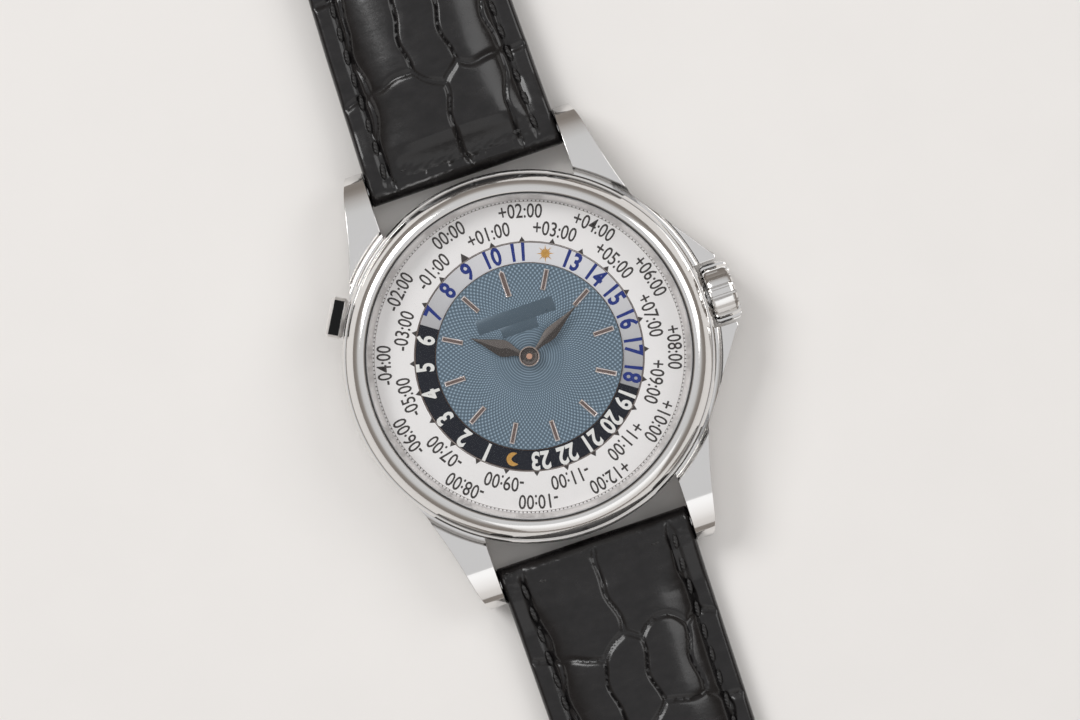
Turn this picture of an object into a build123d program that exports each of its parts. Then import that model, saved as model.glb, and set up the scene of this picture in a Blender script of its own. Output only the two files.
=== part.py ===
"""World time wristwatch on a leather strap, lying open on its back with both strap halves straight.

The origin is on the case axis, on the flat of the case back. +Y points to 12 o'clock, +X to the
crown at 3 o'clock and +Z out of the crystal. All sizes are in millimetres.
"""

import os
from math import atan2, cos, degrees, hypot, pi, radians, sin, sqrt

from build123d import *

os.makedirs("parts", exist_ok=True)

# Fits
running_gap = 0.04
sliding_gap = 0.05
plate_gap = 0.10
edge_gap = 0.20
cut_overrun = 1.0

# Reach of the movement and of the case round it
balance_x = -8.6
balance_y = 2.6
balance_radius = 4.2
rotor_x = 4.6
rotor_y = -7.0
rotor_radius = 4.6
plate_margin = 0.6656
case_wall = 4.6
bar_gap = 2.2
crown_gap = 0.3
movement_radius = plate_margin + max(
    hypot(balance_x, balance_y) + balance_radius, hypot(rotor_x, rotor_y) + rotor_radius
)
case_bore_radius = movement_radius + sliding_gap
case_radius = case_bore_radius + case_wall
bar_y = case_radius + bar_gap
crown_low = case_radius + crown_gap

# Case middle
back_foot = 1.0
middle_height = 5.5
middle_low = back_foot
middle_top = middle_low + middle_height
recess_wall = 2.35
disc_recess_radius = case_radius - recess_wall

# Lugs, as seen from above and from the side
lug_gap = 20.0
lug_end = 2.0
lug_reach = bar_y + lug_end
lug_tip_width = 1.75
lug_shoulder_width = 2.5
lug_shoulder_x = lug_gap / 2 + lug_shoulder_width
lug_shoulder_back = 0.1
lug_shoulder_y = bar_y - lug_shoulder_back
lug_middle_width = 3.35
lug_middle_x = lug_gap / 2 + lug_middle_width
lug_middle_back = 4.1
lug_middle_y = bar_y - lug_middle_back
lug_root_width = 4.6
lug_root_x = lug_gap / 2 + lug_root_width
lug_root_back = 8.9
lug_root_y = bar_y - lug_root_back
lug_top_start_back = 11.7
lug_top_start_y = bar_y - lug_top_start_back
lug_top_bend_back = 2.1
lug_top_bend_y = bar_y - lug_top_bend_back
lug_top_bend_drop = 0.4
lug_top_bend_z = middle_top - lug_top_bend_drop
lug_brow_drop = 1.5
lug_brow_z = middle_top - lug_brow_drop
lug_top_end_z = 2.7
lug_tip_low_z = 0.75
lug_under_back = 5.2
lug_under_y = bar_y - lug_under_back
lug_under_bend_back = 1.1
lug_under_bend_y = bar_y - lug_under_bend_back
lug_under_bend_z = 0.55
cove_lap = 0.15
cove_inner_radius = case_radius - cove_lap
cove_floor_reach = 0.7
cove_floor_radius = case_radius + cove_floor_reach
cove_reach = 1.9
cove_outer_radius = case_radius + cove_reach
cove_depth = 0.85

# Crown guards
crown_radius = 3.05
guard_root_depth = 4.1
guard_root_x = case_radius - guard_root_depth
guard_root_spread = 9.35
guard_root_y = crown_radius + guard_root_spread
guard_bend_depth = 1.4
guard_bend_x = case_radius - guard_bend_depth
guard_bend_spread = 4.95
guard_bend_y = crown_radius + guard_bend_spread
guard_waist_reach = 0.3
guard_waist_x = crown_low + guard_waist_reach
guard_waist_spread = 2.25
guard_waist_y = crown_radius + guard_waist_spread
guard_reach = 2.0
guard_tip_x = crown_low + guard_reach
guard_tip_flat = 0.35
guard_low = 1.6
guard_drop = 0.55
guard_high = middle_top - guard_drop

# Bezel, crystal and flange
bezel_step = 0.25
bezel_radius = case_radius - bezel_step
bezel_height = 2.1
bezel_wall = 0.4
bezel_slope = 0.85
bezel_knee_radius = bezel_radius - bezel_slope
bezel_knee_rise = 1.5
bezel_bore_radius = disc_recess_radius
bezel_brow = 0.6
bezel_brow_radius = bezel_bore_radius + bezel_brow
bezel_brow_rise = 1.95
bezel_top = middle_top + bezel_height
crystal_gasket_width = 0.15
crystal_radius = bezel_bore_radius - crystal_gasket_width
crystal_rise = 1.25
crystal_low = middle_top + crystal_rise
crystal_edge = 0.95
crystal_bevel = 0.35
flange_foot = 0.65
flange_low_radius = disc_recess_radius - flange_foot
flange_lip = 0.08
flange_top_radius = crystal_radius - flange_lip

# Case back
back_step = 1.2
back_radius = case_radius - back_step
back_ring_width = 4.1
back_window_radius = back_radius - back_ring_width
back_edge_bevel = 0.35
key_notches = 6
key_notch_width = 1.6
key_notch_depth = 0.45
key_notch_inset = 1.3
key_notch_radius = back_radius - key_notch_inset

# Movement levels, from the case back up
barrel_wheel_level = 1.85
winding_wheel_thickness = 0.35
bridge_level = barrel_wheel_level + winding_wheel_thickness + sliding_gap
bridge_thickness = 0.6
train_level = bridge_level + bridge_thickness
train_space = 1.1
plate_level = train_level + train_space
plate_thickness = 0.95
works_level = plate_level + plate_thickness
bridge_step = 0.45
bridge_radius = movement_radius - bridge_step

# Dial levels, from the mainplate up
ring_level = works_level + 0.95
ring_thickness = 0.2
dial_level = ring_level + ring_thickness
dial_thickness = 0.25
dial_top = dial_level + dial_thickness

# Dial and rings, by radius
centre_dial_radius = 9.2
ring_24_inner_radius = 9.24
city_radius = disc_recess_radius - sliding_gap
star_depth = 0.55
star_teeth = 24
dial_foot_radius = 0.35
dial_foot_circle = 6.95
dial_feet = 3
dial_foot_angle = 60.0

# Hour markers
marker_count = 12
marker_outer_radius = 8.78
marker_length = 2.1
marker_width = 0.48
marker_height = 0.28
marker_bevel = 0.1
twelve_outer_radius = 8.96
twelve_inner_radius = 6.2
twelve_width = 0.56
twelve_point = 0.35

# Hands
hand_clearance = 0.4
hour_hand_length = 6.08
hour_hand_width = 2.0
hour_hand_angle = 90.0 - 305.5
minute_hand_length = 6.9
minute_hand_width = 1.45
minute_hand_angle = 90.0 - 61.4
hand_widest_share = 0.4
hand_waist_share = 0.16
hand_waist_width = 0.7
hand_thickness = 0.2
hand_hub_radius = 1.0
hand_ridge_drop = 0.11
hand_spacing = 0.22
hour_hand_level = dial_top + hand_clearance
minute_hand_level = hour_hand_level + hand_thickness + hand_spacing
hub_ring_height = 0.08
pin_radius = 0.35
pin_rise = 0.12

# Motion works
works_module = 0.15
works_distance = 3.6
cannon_teeth = 12
minute_wheel_teeth = 36
minute_pinion_teeth = 10
hour_wheel_teeth = 40
minute_wheel_angle = 200.0
works_wheel_thickness = 0.2
works_low = works_level + sliding_gap
cannon_pipe_radius = 0.55
hour_pipe_radius = 0.8
ring_module = 0.375
ring_teeth = 48
ring_driver_teeth = 24
ring_idler_teeth = 12
idler_angle = 20.0
post_radius = 0.3

# Teeth of every wheel
tooth_addendum_share = 0.9
tooth_dedendum_share = 1.15

# Guide between the toothed 24-hour ring and the city disc
ring_rim_wall = 0.82
guide_wall = 0.65
city_hub_wall = 0.6
city_overlap = 0.4
ring_24_gap = 0.06
ring_rim_radius = ring_module * (ring_teeth / 2 + tooth_dedendum_share) + ring_rim_wall
guide_inner_radius = ring_rim_radius + sliding_gap
guide_radius = guide_inner_radius + guide_wall
city_hub_inner_radius = guide_radius + sliding_gap
city_hub_radius = city_hub_inner_radius + city_hub_wall
city_inner_radius = guide_radius + city_overlap
ring_24_radius = city_inner_radius - ring_24_gap

# Arbors and wheels of the train
arbor_radius = 0.24
slim_sides = 8
pivot_radius = 0.14
pivot_length = 0.3
train_wheel_thickness = 0.12
pinion_length = 0.3
barrel_module = 0.175
barrel_teeth = 56
centre_pinion_teeth = 8
centre_module = 0.16
centre_teeth = 45
third_module = 0.14
third_teeth = 48
fourth_module = 0.10
fourth_teeth = 60
pinion_teeth = 6
third_angle = 250.0
fourth_angle = 200.0
escape_angle = 120.0
escape_teeth = 18
escape_radius = 1.9
escape_root_radius = 1.5
escape_lean = 9.0
pallet_distance = 2.35
balance_rim = 0.45
balance_rim_height = 0.28
balance_spoke_width = 0.5
balance_hub_radius = 0.75
balance_clearance = 0.4
fork_width = 0.35
fork_horn = 0.3
pallet_span = 1.75
pallet_width = 0.22
pallet_length = 0.8
roller_radius = 0.5
roller_pin_radius = 0.09
hairspring_turns = 3
hairspring_steps = 10
hairspring_inner_radius = 0.55
hairspring_pitch = 0.6
hairspring_width = 0.05
hairspring_height = 0.16

# Barrel and winding
barrel_drum_radius = 4.6
barrel_height = 0.68
barrel_arbor_radius = 0.8
barrel_tooth_height = 0.3
winding_module = 0.18
winding_pinion_teeth = 12
crown_wheel_teeth = 26
ratchet_teeth = 42
winding_mesh_x = 10.2
winding_mesh_depth = 0.1
winding_pinion_length = 1.0
sliding_pinion_length = 1.3
sliding_pinion_radius = 1.0
stem_z = 3.35
stem_radius = 0.5
stem_square = 0.62
stem_slot_width = 2.8
crown_pull = 1.0
wheel_screw_radius = 0.8
wheel_screw_height = 0.2
screw_slot_width = 0.18
screw_slot_depth = 0.12

# Winding rotor
rotor_rim = 1.5
rotor_height = 1.4
rotor_web = 0.4
rotor_hub_radius = 0.9
rotor_clearance = 0.25

# Bridges, screws and jewels
bridge_split_y = -1.1
bridge_split_gap = 0.12
train_bridge_right = 1.6
pillar_radius = 0.85
pillar_inset = 1.55
pillar_circle = movement_radius - pillar_inset
barrel_pillar_angles = (15.0, 80.0, 122.0)
train_pillar_angles = (207.0, 262.0)
cock_foot_angle = 141.0
cock_foot_radius = 1.15
cock_eye_radius = 0.85
screw_head_radius = 0.6
screw_head_height = 0.25
jewel_radius = 0.5
jewel_thickness = 0.3

# Crown
crown_length = 2.7
crown_bevel = 0.45
crown_flutes = 20
crown_flute_depth = 0.28
crown_ridge_share = 0.22
crown_valley_share = 0.36
crown_tube_radius = 1.2
crown_tube_wall = 0.65
crown_tube_reach = 0.25
crown_bore_radius = crown_tube_radius + edge_gap
crown_bore_depth = 1.5

# Pusher and corrector
pusher_angle = 150.0
pusher_width = 4.15
pusher_height = 2.3
pusher_reach = 1.8
pusher_out = case_radius + pusher_reach
pusher_gap = 0.1
pusher_in = case_radius + pusher_gap
pusher_bevel = 0.35
pusher_travel = 0.8
pusher_z = 4.75
pusher_stem_radius = 0.45
pusher_stem_gap = 0.1
pusher_stem_tip = movement_radius + pusher_stem_gap
pocket_floor = pusher_in - pusher_travel - edge_gap
lever_pivot_inset = 1.0
lever_pivot_circle = movement_radius - lever_pivot_inset
lever_pivot_angle = 138.5
lever_thickness = 0.3
lever_width = 0.55
lever_eye_radius = 0.6
lever_tail_angle = 151.5
lever_tail_inset = 0.45
lever_tail_circle = movement_radius - lever_tail_inset
spring_blade = 0.14
corrector_spring_angle = 163.0
jumper_angle = 300.0
jumper_foot_angle = 322.0

# Spring bars
bar_z = 2.35
bar_radius = 0.6
bar_pivot_length = 0.8

# Strap
strap_side_gap = 0.1
strap_width = lug_gap - 2 * strap_side_gap
strap_tail_width = 16.0
strap_end_radius = 1.6
strap_thickness = 2.3
strap_padding = 4.6
strap_edge = 2.1
strap_margin = 2.2
strap_lie = 1.2
buckle_half_length = 72.0
hole_half_length = 115.0
strap_crown_share = 0.5
strap_crown_rise_share = 0.78
width_place_shares = (0.0, 0.19, 0.34, 0.62, 1.0)
width_taper_shares = (0.0, 0.13, 0.31, 1.0, 1.0)
padding_place_shares = (0.0, 0.045, 0.14, 0.34, 0.56, 1.0)
padding_shares = (0.32, 0.8, 1.0, 0.62, 0.12, 0.06)
hole_count = 9
hole_pitch = 6.5
hole_radius = 0.9
first_hole = 24.0
strap_tip_length = 9.0
strap_tip_width = 5.0

# Keepers and buckle
keeper_width = 5.0
keeper_wall = 1.1
keeper_slack = 0.5
fixed_keeper_back = 6.5
free_keeper_back = 22.0
buckle_bar_radius = 0.7
buckle_arm = 1.4
buckle_gap = 0.25
buckle_reach = 9.4
buckle_front = 2.2
buckle_thickness = 1.9
buckle_drop = 1.25
buckle_round = 2.6
tongue_width = 1.9
tongue_thickness = 0.85
tongue_eye_radius = 1.15
tongue_slot_gap = 0.15
tongue_slot_length = 3.4


def polar(radius, angle):
    """The point at this radius and angle, in degrees from +X."""
    return (radius * cos(radians(angle)), radius * sin(radians(angle)))


def shifted(place, radius, angle):
    """The point that lies this far from a place, in this direction."""
    step_x, step_y = polar(radius, angle)
    return (place[0] + step_x, place[1] + step_y)


def pitch_radius(module, teeth):
    """The pitch radius of a wheel."""
    return module * teeth / 2


def heading(start, end):
    """The direction from one place to another, in degrees."""
    return degrees(atan2(end[1] - start[1], end[0] - start[0]))


def turned(outline):
    """The closed half section of a turned piece, as (radius, height) points."""
    with BuildSketch(Plane.XZ, mode=Mode.PRIVATE) as section:
        with BuildLine():
            Polyline(*outline, close=True)
        make_face()
    return section.sketch


def toothed(module, teeth, phase, inward=False):
    """The outline of a toothed wheel about the origin, with one tooth at the phase angle."""
    rise = -module if inward else module
    pitch = pitch_radius(module, teeth)
    tip = pitch + tooth_addendum_share * rise
    root = pitch - tooth_dedendum_share * rise
    points = []
    for tooth in range(teeth):
        points.append(polar(tip, phase + 360 * tooth / teeth))
        points.append(polar(root, phase + 360 * (tooth + 0.5) / teeth))
    return points


def meshing_phase(phase, teeth, next_teeth, direction, inward=False):
    """The phase of the next wheel, which puts one of its gaps on the tooth of this one."""
    offset = (phase - direction) * teeth / next_teeth
    if inward:
        return direction + offset + 180 / next_teeth
    return direction + 180 - offset + 180 / next_teeth


def wheel_sketch(place, level, module, teeth, phase):
    """A toothed wheel's face on its own plane."""
    with BuildSketch(Plane((*place, level)), mode=Mode.PRIVATE) as face:
        with BuildLine():
            Polyline(*toothed(module, teeth, phase), close=True)
        make_face()
    return face.sketch


def slim_prism(place, low, high, radius, mode=Mode.ADD):
    """A slim upright arbor, screw or hole of the piece in hand, with flats for a round."""
    with BuildSketch(Plane((*place, low)), mode=Mode.PRIVATE) as face:
        RegularPolygon(radius, slim_sides)
    add(face.sketch)
    extrude(amount=high - low, mode=mode)


def slim_hole(place, low, high, radius):
    """A slim hole in the piece in hand, in which an arbor of this radius turns freely."""
    clear = (radius + running_gap) / cos(pi / slim_sides)
    slim_prism(place, low, high, clear, Mode.SUBTRACT)


def post(place, low, high, radius):
    """An upright round post of the piece in hand, from one height to another."""
    with Locations((*place, low)):
        Cylinder(radius, high - low, align=(Align.CENTER, Align.CENTER, Align.MIN))


def bored(place, low, high, radius):
    """An upright round hole in the piece in hand, from one height to another."""
    with Locations((*place, low)):
        Cylinder(
            radius,
            high - low,
            align=(Align.CENTER, Align.CENTER, Align.MIN),
            mode=Mode.SUBTRACT,
        )


def finish(part, name):
    """Labels a finished piece and writes it."""
    part.label = name
    export_step(part, f"parts/{name}.step")


# Places of the train
centre = (0.0, 0.0)
third_place = polar(
    pitch_radius(centre_module, centre_teeth + pinion_teeth), third_angle
)
fourth_place = shifted(
    third_place, pitch_radius(third_module, third_teeth + pinion_teeth), fourth_angle
)
escape_place = shifted(
    fourth_place, pitch_radius(fourth_module, fourth_teeth + pinion_teeth), escape_angle
)
balance_place = (balance_x, balance_y)
pallet_direction = heading(escape_place, balance_place)
pallet_place = shifted(escape_place, pallet_distance, pallet_direction)
crown_wheel_radius = pitch_radius(winding_module, crown_wheel_teeth)
crown_wheel_place = (winding_mesh_x - crown_wheel_radius, 0.0)
barrel_distance = pitch_radius(barrel_module, barrel_teeth + centre_pinion_teeth)
ratchet_distance = pitch_radius(winding_module, crown_wheel_teeth + ratchet_teeth)
barrel_x = (
    barrel_distance**2 - ratchet_distance**2 + crown_wheel_place[0] ** 2
) / (2 * crown_wheel_place[0])
barrel_place = (barrel_x, sqrt(barrel_distance**2 - barrel_x**2))
rotor_place = (rotor_x, rotor_y)
pusher_plane = Plane(
    origin=(0, 0, pusher_z),
    x_dir=(-sin(radians(pusher_angle)), cos(radians(pusher_angle)), 0),
    z_dir=(*polar(1, pusher_angle), 0),
)
minute_wheel_place = polar(works_distance, minute_wheel_angle)
works_module_high = 2 * works_distance / (minute_pinion_teeth + hour_wheel_teeth)
idler_place = polar(
    pitch_radius(ring_module, ring_driver_teeth + ring_idler_teeth), idler_angle
)
cock_foot_place = polar(pillar_circle, cock_foot_angle)
barrel_pillars = [polar(pillar_circle, angle) for angle in barrel_pillar_angles]
train_pillars = [polar(pillar_circle, angle) for angle in train_pillar_angles]
dial_foot_places = [
    polar(dial_foot_circle, dial_foot_angle + 360 * foot / dial_feet)
    for foot in range(dial_feet)
]

lever_pivot = polar(lever_pivot_circle, lever_pivot_angle)
lever_tail = polar(lever_tail_circle, lever_tail_angle)

# Levels of the train
lever_low = works_level + sliding_gap
barrel_low = train_level + plate_gap
barrel_tooth_low = barrel_low + (barrel_height - barrel_tooth_height) / 2
centre_wheel_low = plate_level - plate_gap - train_wheel_thickness
third_wheel_low = centre_wheel_low - plate_gap - 1.5 * train_wheel_thickness
fourth_wheel_low = train_level + 2.5 * plate_gap
balance_low = train_level + plate_gap
escape_wheel_low = third_wheel_low
cock_top = bridge_level + bridge_thickness - plate_gap / 2
hour_wheel_low = works_low + works_wheel_thickness + sliding_gap
ring_wheel_low = hour_wheel_low + works_wheel_thickness + sliding_gap

# Case middle: the lugs, then the ring with its crown guards, coves and bores
with BuildPart() as case_middle:
    with BuildSketch(Plane.XY) as lug_plan:
        with BuildLine():
            Polyline(
                (lug_gap / 2, lug_root_y),
                (lug_gap / 2, lug_reach),
                (lug_gap / 2 + lug_tip_width, lug_reach),
                (lug_shoulder_x, lug_shoulder_y),
                (lug_middle_x, lug_middle_y),
                (lug_root_x, lug_root_y),
                close=True,
            )
        make_face()
        mirror(about=Plane.XZ)
        mirror(about=Plane.YZ)
    extrude(amount=middle_top)
    with BuildSketch(Plane.YZ):
        with BuildLine():
            Polyline(
                (lug_top_start_y, middle_top),
                (lug_top_start_y, middle_low),
                (lug_under_y, middle_low),
                (lug_under_bend_y, lug_under_bend_z),
                (lug_reach, lug_tip_low_z),
                (lug_reach, lug_top_end_z),
                (bar_y, lug_brow_z),
                (lug_top_bend_y, lug_top_bend_z),
                close=True,
            )
        make_face()
        mirror(about=Plane.YZ)
    extrude(amount=lug_reach, both=True, mode=Mode.INTERSECT)
    with BuildSketch(Plane.XY.offset(guard_low)):
        with BuildLine():
            Polyline(
                (guard_root_x, guard_root_y),
                (guard_bend_x, guard_bend_y),
                (guard_waist_x, guard_waist_y),
                (guard_tip_x, crown_radius + edge_gap + guard_tip_flat),
                (guard_tip_x, crown_radius + edge_gap),
                (case_bore_radius, crown_radius + edge_gap),
                close=True,
            )
        make_face()
        mirror(about=Plane.XZ)
    extrude(amount=guard_high - guard_low)
    add(
        turned(
            [
                (cove_inner_radius, middle_top + cut_overrun),
                (cove_inner_radius, middle_top - cove_depth / 2),
                (cove_floor_radius, middle_top - cove_depth),
                (cove_outer_radius, middle_top),
                (cove_outer_radius, middle_top + cut_overrun),
            ]
        )
    )
    revolve(axis=Axis.Z, mode=Mode.SUBTRACT)
    post(centre, middle_low, middle_top, case_radius)
    bored(centre, middle_low, middle_top, case_bore_radius)
    bored(centre, ring_level - plate_gap, middle_top, disc_recess_radius)
    with BuildSketch(Plane.YZ):
        with Locations((0, stem_z)):
            Circle(crown_tube_radius)
    extrude(amount=case_radius + cut_overrun, mode=Mode.SUBTRACT)
    with BuildSketch(pusher_plane.offset(pocket_floor)):
        Rectangle(pusher_width + 2 * edge_gap, pusher_height + 2 * edge_gap)
    extrude(amount=case_radius, mode=Mode.SUBTRACT)
    with BuildSketch(pusher_plane):
        Circle(pusher_stem_radius + sliding_gap)
    extrude(amount=case_radius, mode=Mode.SUBTRACT)
    for side in (1, -1):
        with BuildSketch(Plane.YZ):
            with Locations((side * bar_y, bar_z)):
                Circle(bar_radius)
        extrude(
            amount=lug_gap / 2 + bar_pivot_length, both=True, mode=Mode.SUBTRACT
        )
finish(case_middle.part, "case_middle")

# Bezel: polished slopes round the crystal
with BuildPart() as bezel:
    add(
        turned(
            [
                (bezel_bore_radius, bezel_top),
                (bezel_bore_radius, middle_top),
                (bezel_radius, middle_top),
                (bezel_radius, middle_top + bezel_wall),
                (bezel_knee_radius, middle_top + bezel_knee_rise),
                (bezel_brow_radius, middle_top + bezel_brow_rise),
            ]
        )
    )
    revolve(axis=Axis.Z)
finish(bezel.part, "bezel")

# Crystal: a flat disc with a bevelled edge
with BuildPart() as crystal:
    add(
        turned(
            [
                (0, crystal_low),
                (crystal_radius, crystal_low),
                (crystal_radius, crystal_low + crystal_edge),
                (
                    crystal_radius - crystal_bevel,
                    crystal_low + crystal_edge + crystal_bevel,
                ),
                (0, crystal_low + crystal_edge + crystal_bevel),
            ]
        )
    )
    revolve(axis=Axis.Z)
finish(crystal.part, "crystal")

with BuildPart() as crystal_gasket:
    gasket_height = bezel_top - crystal_low - crystal_bevel / 2
    post(centre, crystal_low, crystal_low + gasket_height, bezel_bore_radius)
    bored(centre, crystal_low, crystal_low + gasket_height, crystal_radius)
finish(crystal_gasket.part, "crystal_gasket")

# Flange: the polished cone between the city disc and the crystal, which rests on it
with BuildPart() as dial_flange:
    add(
        turned(
            [
                (flange_low_radius, dial_level + plate_gap),
                (flange_top_radius, crystal_low),
                (bezel_bore_radius, crystal_low),
                (bezel_bore_radius, dial_level + plate_gap),
            ]
        )
    )
    revolve(axis=Axis.Z)
finish(dial_flange.part, "dial_flange")

# Case back: a threaded ring with key notches, and its window
with BuildPart() as back_ring:
    add(
        turned(
            [
                (back_window_radius, 0),
                (back_radius - back_edge_bevel, 0),
                (back_radius, back_edge_bevel),
                (back_radius, middle_low),
                (back_window_radius, middle_low),
            ]
        )
    )
    revolve(axis=Axis.Z)
    with BuildSketch(Plane.XY):
        with PolarLocations(key_notch_radius, key_notches):
            Rectangle(key_notch_width / 2, key_notch_width)
    extrude(amount=key_notch_depth, mode=Mode.SUBTRACT)
finish(back_ring.part, "back_ring")

with BuildPart() as back_crystal:
    post(centre, 0, middle_low, back_window_radius)
finish(back_crystal.part, "back_crystal")

# Mainplate: carries the train below and the motion works above
with BuildPart() as mainplate:
    post(centre, plate_level, works_level, movement_radius)
    slim_hole(centre, plate_level, works_level, arbor_radius)
    for place in (third_place, fourth_place, escape_place, pallet_place, balance_place):
        slim_hole(place, plate_level, plate_level + pivot_length, pivot_radius)
    with BuildSketch(Plane.XY.offset(plate_level)):
        with Locations((movement_radius, 0)):
            slot_reach = movement_radius - winding_mesh_x + winding_pinion_length
            Rectangle(2 * slot_reach, stem_slot_width)
    extrude(amount=plate_thickness - edge_gap, mode=Mode.SUBTRACT)
    with BuildSketch(pusher_plane.offset(pusher_stem_tip - pusher_travel - edge_gap)):
        Rectangle(2 * (pusher_stem_radius + edge_gap), plate_thickness)
    extrude(amount=movement_radius, mode=Mode.SUBTRACT)
    slim_prism(
        minute_wheel_place, works_level, ring_wheel_low - sliding_gap, post_radius
    )
    slim_prism(idler_place, works_level, ring_level - plate_gap, post_radius)
    slim_prism(lever_pivot, works_level, works_level + lever_width, post_radius)
finish(mainplate.part, "mainplate")

# Bridges under the plate, with their pillars, holes and screw seats
bridge_cutouts = [
    (rotor_place, rotor_radius + rotor_clearance),
    (balance_place, balance_radius + balance_clearance),
    (cock_foot_place, cock_foot_radius + edge_gap),
]


def bridge_seats(places):
    """Sunk screw seats in the bridge in hand, at its pillars."""
    for place in places:
        slim_prism(
            place,
            bridge_level,
            bridge_level + screw_head_height,
            screw_head_radius,
            Mode.SUBTRACT,
        )


with BuildPart() as barrel_bridge:
    with BuildSketch(Plane.XY.offset(bridge_level)):
        Circle(bridge_radius)
        with Locations((0, bridge_split_y - bridge_radius)):
            Rectangle(3 * bridge_radius, 2 * bridge_radius, mode=Mode.SUBTRACT)
        for place, radius in bridge_cutouts:
            with Locations(place):
                Circle(radius, mode=Mode.SUBTRACT)
        with Locations(
            (
                balance_x - bridge_radius,
                cock_foot_place[1] + cock_foot_radius + edge_gap - bridge_radius,
            )
        ):
            Rectangle(2 * bridge_radius, 2 * bridge_radius, mode=Mode.SUBTRACT)
        with Locations((bridge_radius, 0)):
            Rectangle(
                2 * (bridge_radius - winding_mesh_x + winding_pinion_length),
                stem_slot_width,
                mode=Mode.SUBTRACT,
            )
    extrude(amount=bridge_thickness)
    for place in barrel_pillars:
        slim_prism(place, train_level, plate_level, pillar_radius)
    bridge_seats(barrel_pillars)
    slim_prism(centre, bridge_level, train_level, jewel_radius, Mode.SUBTRACT)
    slim_hole(barrel_place, bridge_level, train_level, barrel_arbor_radius)
    slim_hole(crown_wheel_place, bridge_level, train_level, arbor_radius)
finish(barrel_bridge.part, "barrel_bridge")

with BuildPart() as train_bridge:
    with BuildSketch(Plane.XY.offset(bridge_level)):
        Circle(bridge_radius)
        with Locations((0, bridge_split_y - bridge_split_gap + bridge_radius)):
            Rectangle(3 * bridge_radius, 2 * bridge_radius, mode=Mode.SUBTRACT)
        with Locations((train_bridge_right + bridge_radius, 0)):
            Rectangle(2 * bridge_radius, 3 * bridge_radius, mode=Mode.SUBTRACT)
        for place, radius in bridge_cutouts:
            with Locations(place):
                Circle(radius, mode=Mode.SUBTRACT)
    extrude(amount=bridge_thickness)
    for place in train_pillars:
        slim_prism(place, train_level, plate_level, pillar_radius)
    bridge_seats(train_pillars)
    for place in (third_place, fourth_place, escape_place):
        slim_prism(place, bridge_level, train_level, jewel_radius, Mode.SUBTRACT)
finish(train_bridge.part, "train_bridge")

with BuildPart() as balance_cock:
    with BuildSketch(Plane.XY.offset(bridge_level)):
        with Locations(cock_foot_place):
            Circle(cock_foot_radius)
        with Locations(balance_place):
            Circle(cock_eye_radius)
        make_hull()
    extrude(amount=cock_top - bridge_level)
    slim_prism(cock_foot_place, cock_top, plate_level, pillar_radius)
    bridge_seats([cock_foot_place])
    slim_prism(balance_place, bridge_level, cock_top, jewel_radius, Mode.SUBTRACT)
finish(balance_cock.part, "balance_cock")

# Jewels of the bridges
with BuildPart() as bearing_jewels:
    for place in (centre, third_place, fourth_place, escape_place, balance_place):
        slim_prism(place, bridge_level, bridge_level + jewel_thickness, jewel_radius)
        slim_hole(place, bridge_level, bridge_level + jewel_thickness, pivot_radius)
finish(bearing_jewels.part, "bearing_jewels")

# Bridge screws, with slotted heads sunk in the bridges
with BuildPart() as bridge_screws:
    for place in (*barrel_pillars, *train_pillars, cock_foot_place):
        slim_prism(
            place, bridge_level, bridge_level + screw_head_height, screw_head_radius
        )
    with BuildSketch(Plane.XY.offset(bridge_level)):
        with Locations(*barrel_pillars, *train_pillars, cock_foot_place):
            Rectangle(3 * screw_head_radius, screw_slot_width)
    extrude(amount=screw_slot_depth, mode=Mode.SUBTRACT)
finish(bridge_screws.part, "bridge_screws")

# Guide collar, on which both turning rings run
with BuildPart() as ring_guide:
    with BuildSketch(Plane.XY.offset(works_level)):
        Circle(guide_radius)
        Circle(guide_inner_radius, mode=Mode.SUBTRACT)
    extrude(amount=ring_level - plate_gap - works_level)
finish(ring_guide.part, "ring_guide")

# Centre dial on its three feet
with BuildPart() as centre_dial:
    post(centre, dial_level, dial_top, centre_dial_radius)
    for place in dial_foot_places:
        slim_prism(place, works_level, dial_level, dial_foot_radius)
    bored(centre, dial_level, dial_top, hour_pipe_radius + edge_gap)
finish(centre_dial.part, "centre_dial")

# Applied markers: eleven bevelled batons and a pointed one at 12
with BuildPart() as hour_markers:
    with BuildSketch(Plane.XY.offset(dial_top)):
        for hour in range(1, marker_count):
            with Locations(
                Location(
                    (
                        *polar(
                            marker_outer_radius - marker_length / 2,
                            90 - 360 * hour / marker_count,
                        ),
                        0,
                    ),
                    (0, 0, 90 - 360 * hour / marker_count),
                )
            ):
                Rectangle(marker_length, marker_width)
        with BuildLine():
            Polyline(
                (-twelve_width / 2, twelve_inner_radius),
                (twelve_width / 2, twelve_inner_radius),
                (twelve_width / 2, twelve_outer_radius - twelve_point),
                (0, twelve_outer_radius),
                (-twelve_width / 2, twelve_outer_radius - twelve_point),
                close=True,
            )
        make_face()
    extrude(amount=marker_height)
    top_faces = hour_markers.faces().group_by(Axis.Z)[-1]
    chamfer(top_faces.edges(), marker_bevel)
finish(hour_markers.part, "hour_markers")

# Hands, their arbors and the motion works
cannon_phase = minute_wheel_angle
minute_wheel_phase = meshing_phase(
    cannon_phase, cannon_teeth, minute_wheel_teeth, minute_wheel_angle
)
hour_wheel_phase = meshing_phase(
    minute_wheel_angle + 180,
    minute_pinion_teeth,
    hour_wheel_teeth,
    minute_wheel_angle + 180,
)
driver_phase = idler_angle
idler_phase = meshing_phase(
    driver_phase, ring_driver_teeth, ring_idler_teeth, idler_angle
)
ring_phase = meshing_phase(
    idler_phase, ring_idler_teeth, ring_teeth, idler_angle, inward=True
)
minute_top = minute_hand_level + hand_thickness


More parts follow.
